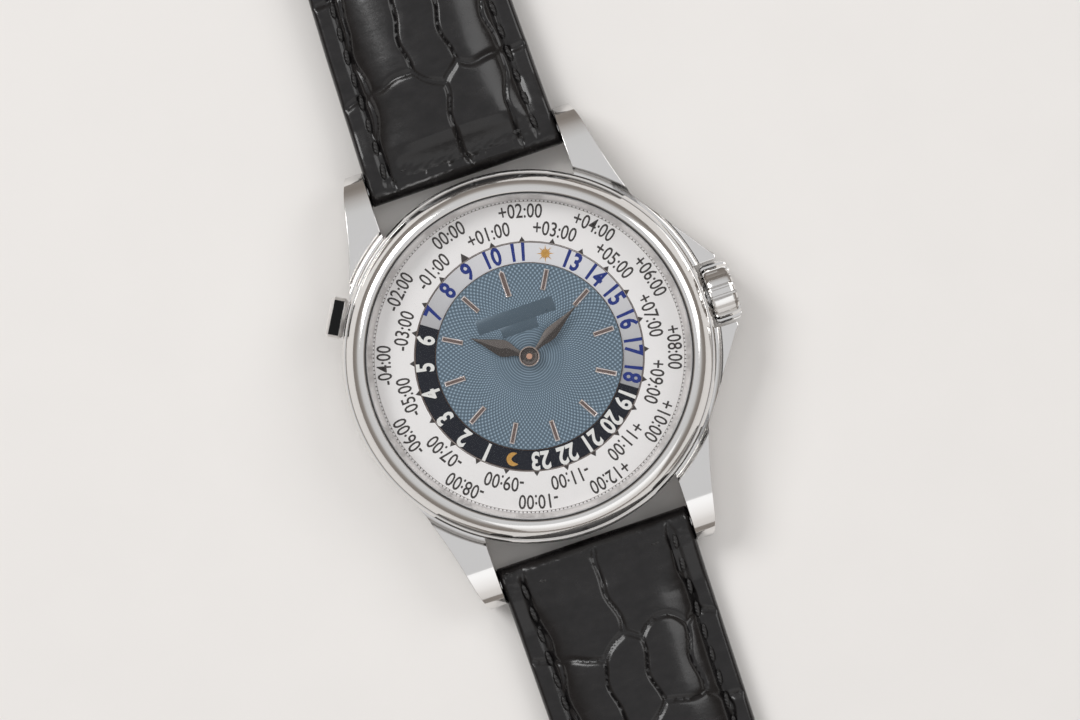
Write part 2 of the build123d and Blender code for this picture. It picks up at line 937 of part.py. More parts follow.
def hand_blank(length, width, angle, level):
    """A leaf hand's outline, as a face on its own plane, pointing along the angle."""
    place = Plane((0, 0, level), x_dir=(*polar(1, angle), 0), z_dir=(0, 0, 1))
    with BuildSketch(place, mode=Mode.PRIVATE) as face:
        with BuildLine():
            Polyline(
                (0, -hand_waist_width / 2),
                (hand_waist_share * length, -hand_waist_width / 2),
                (hand_widest_share * length, -width / 2),
                (length, 0),
                (hand_widest_share * length, width / 2),
                (hand_waist_share * length, hand_waist_width / 2),
                (0, hand_waist_width / 2),
                close=True,
            )
        make_face()
    return face.sketch


def ridge_planes(width, angle, level):
    """The two sloping planes that give a hand its middle ridge."""
    slope = atan2(hand_ridge_drop, width / 2)
    for side in (1, -1):
        across_x, across_y = polar(side * sin(slope), angle + 90)
        yield Plane(
            (0, 0, level + hand_thickness), z_dir=(across_x, across_y, cos(slope))
        )


with BuildPart() as hour_hand:
    add(hand_blank(hour_hand_length, hour_hand_width, hour_hand_angle, hour_hand_level))
    extrude(amount=hand_thickness)
    for roof in ridge_planes(hour_hand_width, hour_hand_angle, hour_hand_level):
        split(bisect_by=roof, keep=Keep.BOTTOM)
    post(centre, hour_hand_level, hour_hand_level + hand_thickness, hand_hub_radius)
    bored(centre, hour_hand_level, minute_hand_level, hour_pipe_radius)
finish(hour_hand.part, "hour_hand")

with BuildPart() as minute_hand:
    add(
        hand_blank(
            minute_hand_length,
            minute_hand_width,
            minute_hand_angle,
            minute_hand_level,
        )
    )
    extrude(amount=hand_thickness)
    for roof in ridge_planes(minute_hand_width, minute_hand_angle, minute_hand_level):
        split(bisect_by=roof, keep=Keep.BOTTOM)
    post(centre, minute_hand_level, minute_top + hub_ring_height, hand_hub_radius)
    bored(centre, minute_hand_level, minute_top + cut_overrun, cannon_pipe_radius)
finish(minute_hand.part, "minute_hand")

with BuildPart() as cannon_pinion:
    add(wheel_sketch(centre, works_low, works_module, cannon_teeth, cannon_phase))
    extrude(amount=works_wheel_thickness)
    post(centre, works_low, minute_top + hub_ring_height, cannon_pipe_radius)
    slim_hole(centre, works_low, minute_top, arbor_radius)
    post(centre, minute_top, minute_top + hub_ring_height + pin_rise, pin_radius)
finish(cannon_pinion.part, "cannon_pinion")

with BuildPart() as minute_wheel:
    add(
        wheel_sketch(
            minute_wheel_place,
            works_low,
            works_module,
            minute_wheel_teeth,
            minute_wheel_phase,
        )
    )
    extrude(amount=works_wheel_thickness)
    add(
        wheel_sketch(
            minute_wheel_place,
            works_low + works_wheel_thickness,
            works_module_high,
            minute_pinion_teeth,
            minute_wheel_angle + 180,
        )
    )
    extrude(amount=works_wheel_thickness + sliding_gap)
    slim_hole(minute_wheel_place, works_low, ring_level, post_radius)
finish(minute_wheel.part, "minute_wheel")

with BuildPart() as hour_wheel:
    add(
        wheel_sketch(
            centre,
            hour_wheel_low,
            works_module_high,
            hour_wheel_teeth,
            hour_wheel_phase,
        )
    )
    extrude(amount=works_wheel_thickness)
    post(centre, hour_wheel_low, hour_hand_level + hand_thickness, hour_pipe_radius)
    add(
        wheel_sketch(
            centre, ring_wheel_low, ring_module, ring_driver_teeth, driver_phase
        )
    )
    extrude(amount=works_wheel_thickness)
    bored(
        centre,
        hour_wheel_low,
        hour_hand_level + hand_thickness,
        cannon_pipe_radius + running_gap,
    )
finish(hour_wheel.part, "hour_wheel")

with BuildPart() as ring_idler:
    add(
        wheel_sketch(
            idler_place, ring_wheel_low, ring_module, ring_idler_teeth, idler_phase
        )
    )
    extrude(amount=works_wheel_thickness)
    slim_hole(idler_place, ring_wheel_low, ring_level, post_radius)
finish(ring_idler.part, "ring_idler")

# 24-hour ring: the visible band, with its toothed rim below
with BuildPart() as hour_24_ring:
    with BuildSketch(Plane.XY.offset(ring_level)):
        Circle(ring_24_radius)
        Circle(ring_24_inner_radius, mode=Mode.SUBTRACT)
    extrude(amount=ring_thickness)
    with BuildSketch(Plane.XY.offset(ring_wheel_low)):
        Circle(ring_rim_radius)
        with BuildLine():
            Polyline(*toothed(ring_module, ring_teeth, ring_phase, True), close=True)
        make_face(mode=Mode.SUBTRACT)
    extrude(amount=ring_level - ring_wheel_low)
finish(hour_24_ring.part, "hour_24_ring")

# City disc: the broad band, with its hub and 24 index teeth below
with BuildPart() as city_disc:
    with BuildSketch(Plane.XY.offset(ring_level)):
        Circle(city_radius)
        Circle(city_inner_radius, mode=Mode.SUBTRACT)
    extrude(amount=ring_thickness)
    with BuildSketch(Plane.XY.offset(hour_wheel_low)):
        with BuildLine():
            star = []
            for tooth in range(star_teeth):
                star.append(polar(city_hub_radius, 360 * tooth / star_teeth))
                star.append(
                    polar(city_hub_radius + star_depth, 360 * (tooth + 0.5) / star_teeth)
                )
            Polyline(*star, close=True)
        make_face()
        Circle(city_hub_inner_radius, mode=Mode.SUBTRACT)
    extrude(amount=ring_level - hour_wheel_low)
finish(city_disc.part, "city_disc")


def arbored(place, low, high):
    """An arbor of the wheel in hand, with a pivot at each end."""
    slim_prism(place, low, high, arbor_radius)
    slim_prism(
        place, low - pivot_length, high + pivot_length - running_gap, pivot_radius
    )


# Train wheels, in mesh at rest
barrel_direction = heading(barrel_place, centre)
barrel_phase = barrel_direction
centre_pinion_phase = meshing_phase(
    barrel_phase, barrel_teeth, centre_pinion_teeth, barrel_direction
)
third_direction = heading(centre, third_place)
fourth_direction = heading(third_place, fourth_place)
escape_direction = heading(fourth_place, escape_place)

with BuildPart() as barrel:
    add(
        wheel_sketch(
            barrel_place, barrel_tooth_low, barrel_module, barrel_teeth, barrel_phase
        )
    )
    extrude(amount=barrel_tooth_height)
    post(barrel_place, barrel_low, barrel_low + barrel_height, barrel_drum_radius)
    slim_hole(
        barrel_place, barrel_low, barrel_low + barrel_height, barrel_arbor_radius
    )
finish(barrel.part, "barrel")

with BuildPart() as centre_wheel:
    add(wheel_sketch(centre, centre_wheel_low, centre_module, centre_teeth, third_direction))
    extrude(amount=train_wheel_thickness)
    add(
        wheel_sketch(
            centre,
            barrel_tooth_low,
            barrel_module,
            centre_pinion_teeth,
            centre_pinion_phase,
        )
    )
    extrude(amount=barrel_tooth_height)
    slim_prism(centre, train_level, minute_top, arbor_radius)
    slim_prism(centre, train_level - pivot_length, train_level, pivot_radius)
finish(centre_wheel.part, "centre_wheel")

with BuildPart() as third_wheel:
    add(wheel_sketch(third_place, third_wheel_low, third_module, third_teeth, fourth_direction))
    extrude(amount=train_wheel_thickness)
    add(
        wheel_sketch(
            third_place,
            plate_level - plate_gap / 2 - pinion_length,
            centre_module,
            pinion_teeth,
            meshing_phase(
                third_direction, centre_teeth, pinion_teeth, third_direction
            ),
        )
    )
    extrude(amount=pinion_length)
    arbored(third_place, train_level, plate_level)
finish(third_wheel.part, "third_wheel")

with BuildPart() as fourth_wheel:
    add(
        wheel_sketch(
            fourth_place, fourth_wheel_low, fourth_module, fourth_teeth, escape_direction
        )
    )
    extrude(amount=train_wheel_thickness)
    add(
        wheel_sketch(
            fourth_place,
            third_wheel_low - plate_gap,
            third_module,
            pinion_teeth,
            meshing_phase(
                fourth_direction, third_teeth, pinion_teeth, fourth_direction
            ),
        )
    )
    extrude(amount=pinion_length)
    arbored(fourth_place, train_level, plate_level)
finish(fourth_wheel.part, "fourth_wheel")

# Escape wheel: pointed teeth that lean forward
with BuildPart() as escape_wheel:
    with BuildSketch(Plane((*escape_place, escape_wheel_low))):
        with BuildLine():
            points = []
            for tooth in range(escape_teeth):
                start = 360 * tooth / escape_teeth
                points.append(polar(escape_root_radius, start))
                points.append(polar(escape_radius, start + escape_lean))
                points.append(
                    polar(escape_root_radius, start + 180 / escape_teeth)
                )
            Polyline(*points, close=True)
        make_face()
        Circle(escape_root_radius - pallet_width, mode=Mode.SUBTRACT)
        Rectangle(2 * escape_root_radius, pallet_width)
        Rectangle(pallet_width, 2 * escape_root_radius)
    extrude(amount=train_wheel_thickness)
    add(
        wheel_sketch(
            escape_place,
            fourth_wheel_low - plate_gap / 2,
            fourth_module,
            pinion_teeth,
            meshing_phase(
                escape_direction, fourth_teeth, pinion_teeth, escape_direction
            ),
        )
    )
    extrude(amount=pinion_length)
    arbored(escape_place, train_level, plate_level)
finish(escape_wheel.part, "escape_wheel")

# Pallet fork: two pallets over the escape wheel and a forked lever to the balance
fork_reach = hypot(
    balance_place[0] - pallet_place[0], balance_place[1] - pallet_place[1]
)
fork_length = fork_reach - roller_radius - fork_horn - running_gap
with BuildPart() as pallet_fork:
    fork_plane = Plane(
        (*pallet_place, escape_wheel_low),
        x_dir=(*polar(1, pallet_direction), 0),
        z_dir=(0, 0, 1),
    )
    with BuildSketch(fork_plane):
        with Locations((fork_length / 2, 0)):
            Rectangle(fork_length, fork_width)
        Rectangle(fork_width, 2 * pallet_span)
        for side in (1, -1):
            with Locations((-pallet_length / 2, side * pallet_span)):
                Rectangle(pallet_length, pallet_width)
            with Locations((fork_length + fork_horn / 2, side * fork_horn)):
                Rectangle(fork_horn, pallet_width)
        with Locations((fork_length, 0)):
            Rectangle(pallet_width, 2 * fork_horn + pallet_width)
        Circle(fork_width)
    extrude(amount=train_wheel_thickness)
    arbored(pallet_place, escape_wheel_low - plate_gap, plate_level)
finish(pallet_fork.part, "pallet_fork")

# Balance with its staff and roller, and its flat spiral spring
with BuildPart() as balance_wheel:
    with BuildSketch(Plane((*balance_place, balance_low))):
        Circle(balance_radius)
        Circle(balance_radius - balance_rim, mode=Mode.SUBTRACT)
        Rectangle(2 * balance_radius - balance_rim, balance_spoke_width)
        Circle(balance_hub_radius)
    extrude(amount=balance_rim_height)
    slim_prism(
        balance_place, escape_wheel_low - plate_gap, escape_wheel_low, roller_radius
    )
    pin_place = shifted(
        balance_place, roller_radius - roller_pin_radius, pallet_direction + 180
    )
    slim_prism(
        pin_place,
        escape_wheel_low,
        escape_wheel_low + train_wheel_thickness,
        roller_pin_radius,
    )
    arbored(balance_place, cock_top, plate_level)
finish(balance_wheel.part, "balance_wheel")

with BuildPart() as hairspring:
    spring_low = escape_wheel_low + train_wheel_thickness + plate_gap / 2
    with BuildSketch(Plane((*balance_place, spring_low))):
        with BuildLine():
            inner = []
            outer = []
            for step in range(hairspring_steps * hairspring_turns + 1):
                turn = step / hairspring_steps
                spring_radius = hairspring_inner_radius + hairspring_pitch * turn
                inner.append(polar(spring_radius, 360 * turn))
                outer.append(polar(spring_radius + hairspring_width, 360 * turn))
            Polyline(*inner, *reversed(outer), close=True)
        make_face()
        RegularPolygon(hairspring_inner_radius + hairspring_width, slim_sides)
        RegularPolygon(arbor_radius, slim_sides, mode=Mode.SUBTRACT)
    extrude(amount=hairspring_height)
finish(hairspring.part, "hairspring")

# Winding rotor: a light web with a heavy half rim
with BuildPart() as winding_rotor:
    post(rotor_place, barrel_wheel_level, barrel_wheel_level + rotor_web, rotor_radius)
    with BuildSketch(Plane((*rotor_place, barrel_wheel_level))):
        Circle(rotor_radius)
        Circle(rotor_radius - rotor_rim, mode=Mode.SUBTRACT)
        with Locations((0, rotor_radius)):
            Rectangle(2 * rotor_radius, 2 * rotor_radius, mode=Mode.SUBTRACT)
    extrude(amount=rotor_height)
    slim_prism(
        rotor_place,
        barrel_wheel_level,
        barrel_wheel_level + rotor_height,
        rotor_hub_radius,
    )
    slim_prism(
        rotor_place, barrel_wheel_level, plate_level - sliding_gap, arbor_radius
    )
finish(winding_rotor.part, "winding_rotor")

# Ratchet wheel on the barrel arbor, and the crown wheel that drives it
crown_wheel_phase = 0.0
ratchet_direction = heading(crown_wheel_place, barrel_place)
ratchet_phase = meshing_phase(
    crown_wheel_phase, crown_wheel_teeth, ratchet_teeth, ratchet_direction
)


def screw_top(place):
    """A slotted screw head under the wheel in hand."""
    low = barrel_wheel_level - wheel_screw_height
    slim_prism(place, low, barrel_wheel_level, wheel_screw_radius)
    with BuildSketch(Plane((*place, low)), mode=Mode.PRIVATE) as slot:
        Rectangle(3 * wheel_screw_radius, screw_slot_width)
    add(slot.sketch)
    extrude(amount=screw_slot_depth, mode=Mode.SUBTRACT)


with BuildPart() as ratchet_wheel:
    add(
        wheel_sketch(
            barrel_place,
            barrel_wheel_level,
            winding_module,
            ratchet_teeth,
            ratchet_phase,
        )
    )
    extrude(amount=winding_wheel_thickness)
    screw_top(barrel_place)
    slim_prism(
        barrel_place,
        barrel_wheel_level,
        plate_level - sliding_gap,
        barrel_arbor_radius,
    )
finish(ratchet_wheel.part, "ratchet_wheel")

with BuildPart() as crown_wheel:
    add(
        wheel_sketch(
            crown_wheel_place,
            barrel_wheel_level,
            winding_module,
            crown_wheel_teeth,
            crown_wheel_phase,
        )
    )
    extrude(amount=winding_wheel_thickness)
    screw_top(crown_wheel_place)
    slim_prism(crown_wheel_place, barrel_wheel_level, train_level, arbor_radius)
finish(crown_wheel.part, "crown_wheel")

# Keyless works: winding pinion, sliding pinion, stem and crown on the X axis
pinion_tip = (
    stem_z - barrel_wheel_level - winding_wheel_thickness + winding_mesh_depth
)
winding_pinion_module = pinion_tip / (
    winding_pinion_teeth / 2 + tooth_addendum_share
)
winding_pinion_x = winding_mesh_x - winding_pinion_length / 2


def stem_plane(x):
    """The plane across the stem at this distance from the case axis."""
    return Plane((x, 0, stem_z), x_dir=(0, 1, 0), z_dir=(1, 0, 0))


with BuildPart() as winding_pinion:
    with BuildSketch(stem_plane(winding_pinion_x)):
        with BuildLine():
            Polyline(
                *toothed(
                    winding_pinion_module,
                    winding_pinion_teeth,
                    180 / winding_pinion_teeth,
                ),
                close=True,
            )
        make_face()
        Rectangle(
            stem_square + running_gap,
            stem_square + running_gap,
            mode=Mode.SUBTRACT,
        )
    extrude(amount=winding_pinion_length)
finish(winding_pinion.part, "winding_pinion")

sliding_pinion_x = winding_pinion_x + winding_pinion_length + crown_pull / 10
with BuildPart() as sliding_pinion:
    with BuildSketch(stem_plane(sliding_pinion_x)):
        Circle(sliding_pinion_radius)
        Rectangle(stem_square, stem_square, mode=Mode.SUBTRACT)
    extrude(amount=sliding_pinion_length)
finish(sliding_pinion.part, "sliding_pinion")

with BuildPart() as winding_stem:
    with BuildSketch(stem_plane(winding_pinion_x)):
        Rectangle(stem_square, stem_square)
    extrude(amount=sliding_pinion_x + sliding_pinion_length - winding_pinion_x)
    with BuildSketch(stem_plane(sliding_pinion_x + sliding_pinion_length)):
        Circle(stem_radius)
    extrude(
        amount=crown_low + crown_bore_depth - sliding_pinion_x - sliding_pinion_length
    )
finish(winding_stem.part, "winding_stem")

with BuildPart() as crown_tube:
    tube_start = pocket_floor - crown_bore_depth
    with BuildSketch(stem_plane(tube_start)):
        Circle(crown_tube_radius)
        Circle(crown_tube_radius - crown_tube_wall, mode=Mode.SUBTRACT)
    extrude(amount=crown_low + crown_tube_reach - tube_start)
finish(crown_tube.part, "crown_tube")

def fluted_section(x, inset):
    """The crown's fluted outline across the stem, drawn in all round by the inset."""
    share = (crown_radius - inset) / crown_radius
    with BuildSketch(stem_plane(x), mode=Mode.PRIVATE) as section:
        with BuildLine():
            flutes = []
            for flute in range(crown_flutes):
                for turn, depth in (
                    (-crown_valley_share, crown_flute_depth),
                    (-crown_ridge_share, 0),
                    (crown_ridge_share, 0),
                    (crown_valley_share, crown_flute_depth),
                ):
                    angle = 360 * (flute + turn) / crown_flutes
                    flutes.append(polar(share * (crown_radius - depth), angle))
            Polyline(*flutes, close=True)
        make_face()
    return section.sketch


with BuildPart() as crown:
    add(fluted_section(crown_low, crown_bevel))
    add(fluted_section(crown_low + crown_bevel, 0))
    add(fluted_section(crown_low + crown_length - crown_bevel, 0))
    add(fluted_section(crown_low + crown_length, crown_bevel))
    loft(ruled=True)
    with BuildSketch(stem_plane(crown_low)):
        Circle(crown_bore_radius)
    extrude(amount=crown_bore_depth, mode=Mode.SUBTRACT)
finish(crown.part, "crown")

# Pusher, with its stem through the case wall
with BuildPart() as pusher:
    with BuildSketch(pusher_plane.offset(pusher_in)):
        RectangleRounded(pusher_width, pusher_height, pusher_bevel)
    extrude(amount=pusher_out - pusher_in)
    pusher_axis = Axis((0, 0, pusher_z), (*polar(1, pusher_angle), 0))
    chamfer(pusher.faces().sort_by(pusher_axis)[-1].edges(), pusher_bevel)
    with BuildSketch(pusher_plane.offset(pusher_stem_tip)):
        Circle(pusher_stem_radius)
    extrude(amount=pusher_in - pusher_stem_tip)
finish(pusher.part, "pusher")

# Corrector lever on the plate, its blade spring, and the jumper of the city disc


def bar_between(start, end, width):
    """A straight bar with round ends, in the sketch in hand."""
    length = hypot(end[0] - start[0], end[1] - start[1])
    middle = ((start[0] + end[0]) / 2, (start[1] + end[1]) / 2)
    with Locations(Location((*middle, 0), (0, 0, heading(start, end)))):
        SlotCenterToCenter(length, width)


with BuildPart() as corrector_lever:
    with BuildSketch(Plane.XY.offset(lever_low)):
        with Locations(lever_pivot):
            Circle(lever_eye_radius)
        bar_between(lever_pivot, lever_tail, lever_width)
    extrude(amount=lever_thickness)
    slim_hole(lever_pivot, works_level, ring_level, post_radius)
finish(corrector_lever.part, "corrector_lever")

with BuildPart() as corrector_spring:
    spring_start = polar(movement_radius - lever_width, corrector_spring_angle)
    spring_end = shifted(lever_tail, lever_width / 2 + spring_blade, lever_tail_angle + 180)
    with BuildSketch(Plane.XY.offset(lever_low)):
        with Locations(spring_start):
            Circle(lever_width / 2)
        bar_between(spring_start, spring_end, spring_blade)
    extrude(amount=lever_thickness)
    post(spring_start, works_level, lever_low, lever_width / 2)
finish(corrector_spring.part, "corrector_spring")

with BuildPart() as city_jumper:
    jumper_foot = polar(movement_radius - lever_width, jumper_foot_angle)
    jumper_nose = polar(
        city_hub_radius + star_depth + post_radius + sliding_gap, jumper_angle
    )
    with BuildSketch(Plane.XY.offset(lever_low)):
        with Locations(jumper_foot):
            Circle(lever_width / 2)
        with Locations(jumper_nose):
            Circle(post_radius)
        bar_between(jumper_foot, jumper_nose, spring_blade)
    extrude(amount=lever_thickness)
    post(jumper_foot, works_level, lever_low, lever_width / 2)
finish(city_jumper.part, "city_jumper")

# Spring bars between the lugs
with BuildPart() as lug_spring_bars:
    for side in (1, -1):
        with BuildSketch(Plane.YZ):
            with Locations((side * bar_y, bar_z)):
                Circle(bar_radius)
        extrude(amount=lug_gap / 2 + bar_pivot_length, both=True)
finish(lug_spring_bars.part, "lug_spring_bars")


def between(value, places, levels):
    """The level at this value, on straight lines through the places."""
    for place, next_place, level, next_level in zip(
        places, places[1:], levels, levels[1:]
    ):
        if value <= next_place:
            return level + (next_level - level) * (value - place) / (
                next_place - place
            )
    return levels[-1]


def half_width(share):
    """Half the strap's width at this share of its length."""
    taper = between(share, width_place_shares, width_taper_shares)
    return (strap_width - taper * (strap_width - strap_tail_width)) / 2


def strap_section(side, length, share, lie):
    """The padded section of a strap half at this share of its length."""
    y = bar_y + share * length
    wide = half_width(share)
    padding = between(share, padding_place_shares, padding_shares)
    low = between(share, padding_place_shares[:3], (bar_z - strap_end_radius, lie, lie))
    crest = strap_thickness + padding * (strap_padding - strap_thickness)
    if share == 0:
        crest = 2 * strap_end_radius
    edge = min(strap_edge, crest)
    brow = edge + strap_crown_rise_share * (crest - edge)
    plane = Plane((0, side * y, low), x_dir=(1, 0, 0), z_dir=(0, -1, 0))
    with BuildSketch(plane, mode=Mode.PRIVATE) as section:
        with BuildLine():
            Polyline(
                (-wide, edge),
                (-wide, 0),
                (wide, 0),
                (wide, edge),
                (wide - strap_margin, edge),
                (strap_crown_share * wide, brow),
                (0, crest),
                (-strap_crown_share * wide, brow),
                (-wide + strap_margin, edge),
                close=True,
            )
        make_face()
    return section.sketch


def along_bar(y, z, radius, reach, mode):
    """A round bar or bore across the strap in hand."""
    with BuildSketch(Plane.YZ, mode=Mode.PRIVATE) as round_face:
        with Locations((y, z)):
            Circle(radius)
    add(round_face.sketch)
    extrude(amount=reach, dir=(1, 0, 0), both=True, mode=mode)


# Strap half with the buckle, towards 12 o'clock
buckle_y = bar_y + buckle_half_length
buckle_z = strap_lie + strap_thickness / 2
with BuildPart() as strap_buckle_half:
    for share in padding_place_shares:
        add(strap_section(1, buckle_half_length, share, strap_lie))
    loft(ruled=True)
    along_bar(bar_y, bar_z, strap_end_radius, strap_width / 2, Mode.ADD)
    along_bar(
        buckle_y, buckle_z, strap_thickness / 2, strap_tail_width / 2, Mode.ADD
    )
    along_bar(
        bar_y, bar_z, bar_radius + running_gap, strap_width / 2, Mode.SUBTRACT
    )
    along_bar(
        buckle_y,
        buckle_z,
        buckle_bar_radius + running_gap,
        strap_width / 2,
        Mode.SUBTRACT,
    )
    with BuildSketch(Plane.XY):
        with Locations((0, buckle_y)):
            Rectangle(tongue_width + 2 * tongue_slot_gap, 2 * tongue_slot_length)
    extrude(amount=strap_padding + strap_lie, mode=Mode.SUBTRACT)
finish(strap_buckle_half.part, "strap_buckle_half")

# Strap half with the holes, towards 6 o'clock
hole_tip_y = bar_y + hole_half_length
with BuildPart() as strap_hole_half:
    for share in padding_place_shares:
        add(strap_section(-1, hole_half_length, share, 0))
    loft(ruled=True)
    along_bar(-bar_y, bar_z, strap_end_radius, strap_width / 2, Mode.ADD)
    along_bar(
        -bar_y, bar_z, bar_radius + running_gap, strap_width / 2, Mode.SUBTRACT
    )
    with BuildSketch(Plane.XY):
        for hole in range(hole_count):
            with Locations((0, -hole_tip_y + first_hole + hole * hole_pitch)):
                RegularPolygon(hole_radius, slim_sides)
    extrude(amount=strap_padding, mode=Mode.SUBTRACT)
    with BuildSketch(Plane.XY):
        with BuildLine():
            Polyline(
                (strap_tail_width, -hole_tip_y),
                (strap_tail_width / 2, -hole_tip_y + strap_tip_length),
                (strap_tip_width, -hole_tip_y + strap_tip_length / 3),
                (strap_tip_width / 2, -hole_tip_y + strap_tip_length / 9),
                (0, -hole_tip_y),
                close=True,
            )
        make_face()
        mirror(about=Plane.YZ)
    extrude(amount=strap_padding, mode=Mode.SUBTRACT)
finish(strap_hole_half.part, "strap_hole_half")


def keeper_loop(back, slack):
    """The loop of a keeper round both strap layers, this far behind the buckle bar."""
    inner_width = strap_tail_width + 2 * keeper_slack
    inner_height = 2 * strap_thickness + keeper_slack + slack
    middle_z = strap_lie - slack + inner_height / 2
    plane = Plane(
        (0, buckle_y - back - keeper_width / 2, middle_z),
        x_dir=(-1, 0, 0),
        z_dir=(0, 1, 0),
    )
    with BuildSketch(plane, mode=Mode.PRIVATE) as loop:
        RectangleRounded(
            inner_width + 2 * keeper_wall, inner_height + 2 * keeper_wall, keeper_wall
        )
        Rectangle(inner_width, inner_height, mode=Mode.SUBTRACT)
    return loop.sketch


with BuildPart() as fixed_keeper:
    add(keeper_loop(fixed_keeper_back, 0))
    extrude(amount=keeper_width, dir=(0, 1, 0))
finish(fixed_keeper.part, "fixed_keeper")

with BuildPart() as free_keeper:
    add(keeper_loop(free_keeper_back, plate_gap))
    extrude(amount=keeper_width, dir=(0, 1, 0))
finish(free_keeper.part, "free_keeper")

# Pin buckle: curved frame, spring bar and tongue
buckle_inner = strap_tail_width / 2 + buckle_gap
buckle_outer = buckle_inner + buckle_arm
frame_end = buckle_y + buckle_reach
with BuildPart() as buckle_frame:
    with BuildSketch(Plane.XY) as frame_plan:
        with Locations((0, (buckle_y + frame_end) / 2)):
            Rectangle(2 * buckle_outer, frame_end - buckle_y)
        fillet(frame_plan.vertices().sort_by(Axis.Y)[-2:], buckle_round)
        with Locations((0, buckle_y)):
            Rectangle(2 * buckle_outer, buckle_thickness)
        with Locations((0, frame_end - buckle_front - buckle_reach)):
            Rectangle(2 * buckle_inner, 2 * buckle_reach, mode=Mode.SUBTRACT)
    extrude(amount=strap_lie + strap_padding)
    with BuildSketch(Plane.YZ):
        with BuildLine():
            low_z = buckle_z - buckle_thickness / 2
            high_z = buckle_z + buckle_thickness / 2
            middle_y = (buckle_y + frame_end) / 2
            Line((buckle_y, low_z), (buckle_y, high_z))
            ThreePointArc(
                (buckle_y, high_z),
                (middle_y, high_z - buckle_drop / 3),
                (frame_end, high_z - buckle_drop),
            )
            Line((frame_end, high_z - buckle_drop), (frame_end, low_z - buckle_drop))
            ThreePointArc(
                (frame_end, low_z - buckle_drop),
                (middle_y, low_z - buckle_drop / 3),
                (buckle_y, low_z),
            )
        make_face()
        with Locations((buckle_y, buckle_z)):
            Circle(buckle_thickness / 2)
    extrude(amount=buckle_outer, both=True, mode=Mode.INTERSECT)
    along_bar(buckle_y, buckle_z, buckle_bar_radius, buckle_outer, Mode.SUBTRACT)
finish(buckle_frame.part, "buckle_frame")

with BuildPart() as buckle_bar:
    along_bar(buckle_y, buckle_z, buckle_bar_radius, buckle_outer, Mode.ADD)
finish(buckle_bar.part, "buckle_bar")

with BuildPart() as buckle_tongue:
    tip_z = high_z - buckle_drop + sliding_gap
    with BuildSketch(Plane.YZ):
        with BuildLine():
            Polyline(
                (buckle_y, buckle_z),
                (buckle_y, buckle_z + tongue_eye_radius),
                (frame_end, tip_z + tongue_thickness / 2),
                (frame_end, tip_z),
                (frame_end - buckle_front, tip_z + buckle_drop / 3),
                close=True,
            )
        make_face()
        with Locations((buckle_y, buckle_z)):
            Circle(tongue_eye_radius)
            Circle(buckle_bar_radius + running_gap, mode=Mode.SUBTRACT)
    extrude(amount=tongue_width / 2, both=True)
finish(buckle_tongue.part, "buckle_tongue")
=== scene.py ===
"""Looks of the world time watch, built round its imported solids."""

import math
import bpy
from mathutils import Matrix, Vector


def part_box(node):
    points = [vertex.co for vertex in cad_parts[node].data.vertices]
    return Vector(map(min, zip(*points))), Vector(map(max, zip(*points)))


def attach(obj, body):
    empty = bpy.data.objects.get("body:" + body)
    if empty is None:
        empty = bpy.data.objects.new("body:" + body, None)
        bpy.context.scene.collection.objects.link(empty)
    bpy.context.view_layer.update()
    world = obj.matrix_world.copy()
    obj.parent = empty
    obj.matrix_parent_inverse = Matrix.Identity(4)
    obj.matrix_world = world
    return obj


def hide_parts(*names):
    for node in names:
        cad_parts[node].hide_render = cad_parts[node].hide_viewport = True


bl_info = {
    "name": "World time watch",
    "version": (1, 0, 0),
    "blender": (4, 5, 0),
    "location": "View3D > Sidebar > Watch",
    "description": "Makes the watch's visible pieces, its finishes and its studio",
    "category": "Object",
}

import bpy
import numpy as np

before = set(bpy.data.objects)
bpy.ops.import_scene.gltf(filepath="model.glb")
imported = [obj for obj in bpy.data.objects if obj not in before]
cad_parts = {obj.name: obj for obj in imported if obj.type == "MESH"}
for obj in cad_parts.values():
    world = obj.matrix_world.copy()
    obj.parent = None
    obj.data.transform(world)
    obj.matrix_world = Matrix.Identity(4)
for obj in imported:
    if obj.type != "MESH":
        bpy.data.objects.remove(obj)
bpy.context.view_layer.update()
MM = 0.001

# Places on the watch, in millimetres and in degrees clockwise from 12

NOON = 27.5
MIDDLE_OF_DAY = 35.0
RING_LEVEL = 6.045
PRINT_LEVEL = 6.05
ROTOR_CENTRE = (4.6, -7.0)
PUSHER_TURN = 150
PUSHER_LEVEL = 4.75
CROWN_FOOT, CROWN_LEVEL = 18.8, 3.35

# The strap halves: 1 is the buckle's half and -1 the one with the holes

BAR_Y, BAR_Z, END_ROUND = 20.7, 2.35, 1.6
TAIL_ROUND, TIP_ROUND = 1.15, 9
LEATHER = 2.3
STRAP_LENGTH = {1: 72.0, -1: 115.0}
STRAP_LIE = {1: 1.2, -1: 0.0}
HALF_WIDTH = [(0.0, 9.9), (0.19, 9.64), (0.34, 9.28), (0.62, 8.0), (1.0, 8.0)]
PADDING = [(0.0, 0.32), (0.045, 0.8), (0.14, 1.0), (0.34, 0.62), (0.56, 0.12), (1.0, 0.06)]
EDGE_RISE = [(0.0, 3.0), (2.2, 2.9), (6.0, 2.1)]
TOP_CELLS, SIDE_CELLS, LOW_CELLS = 124, 4, 14


# Sizes and colours that a user would change


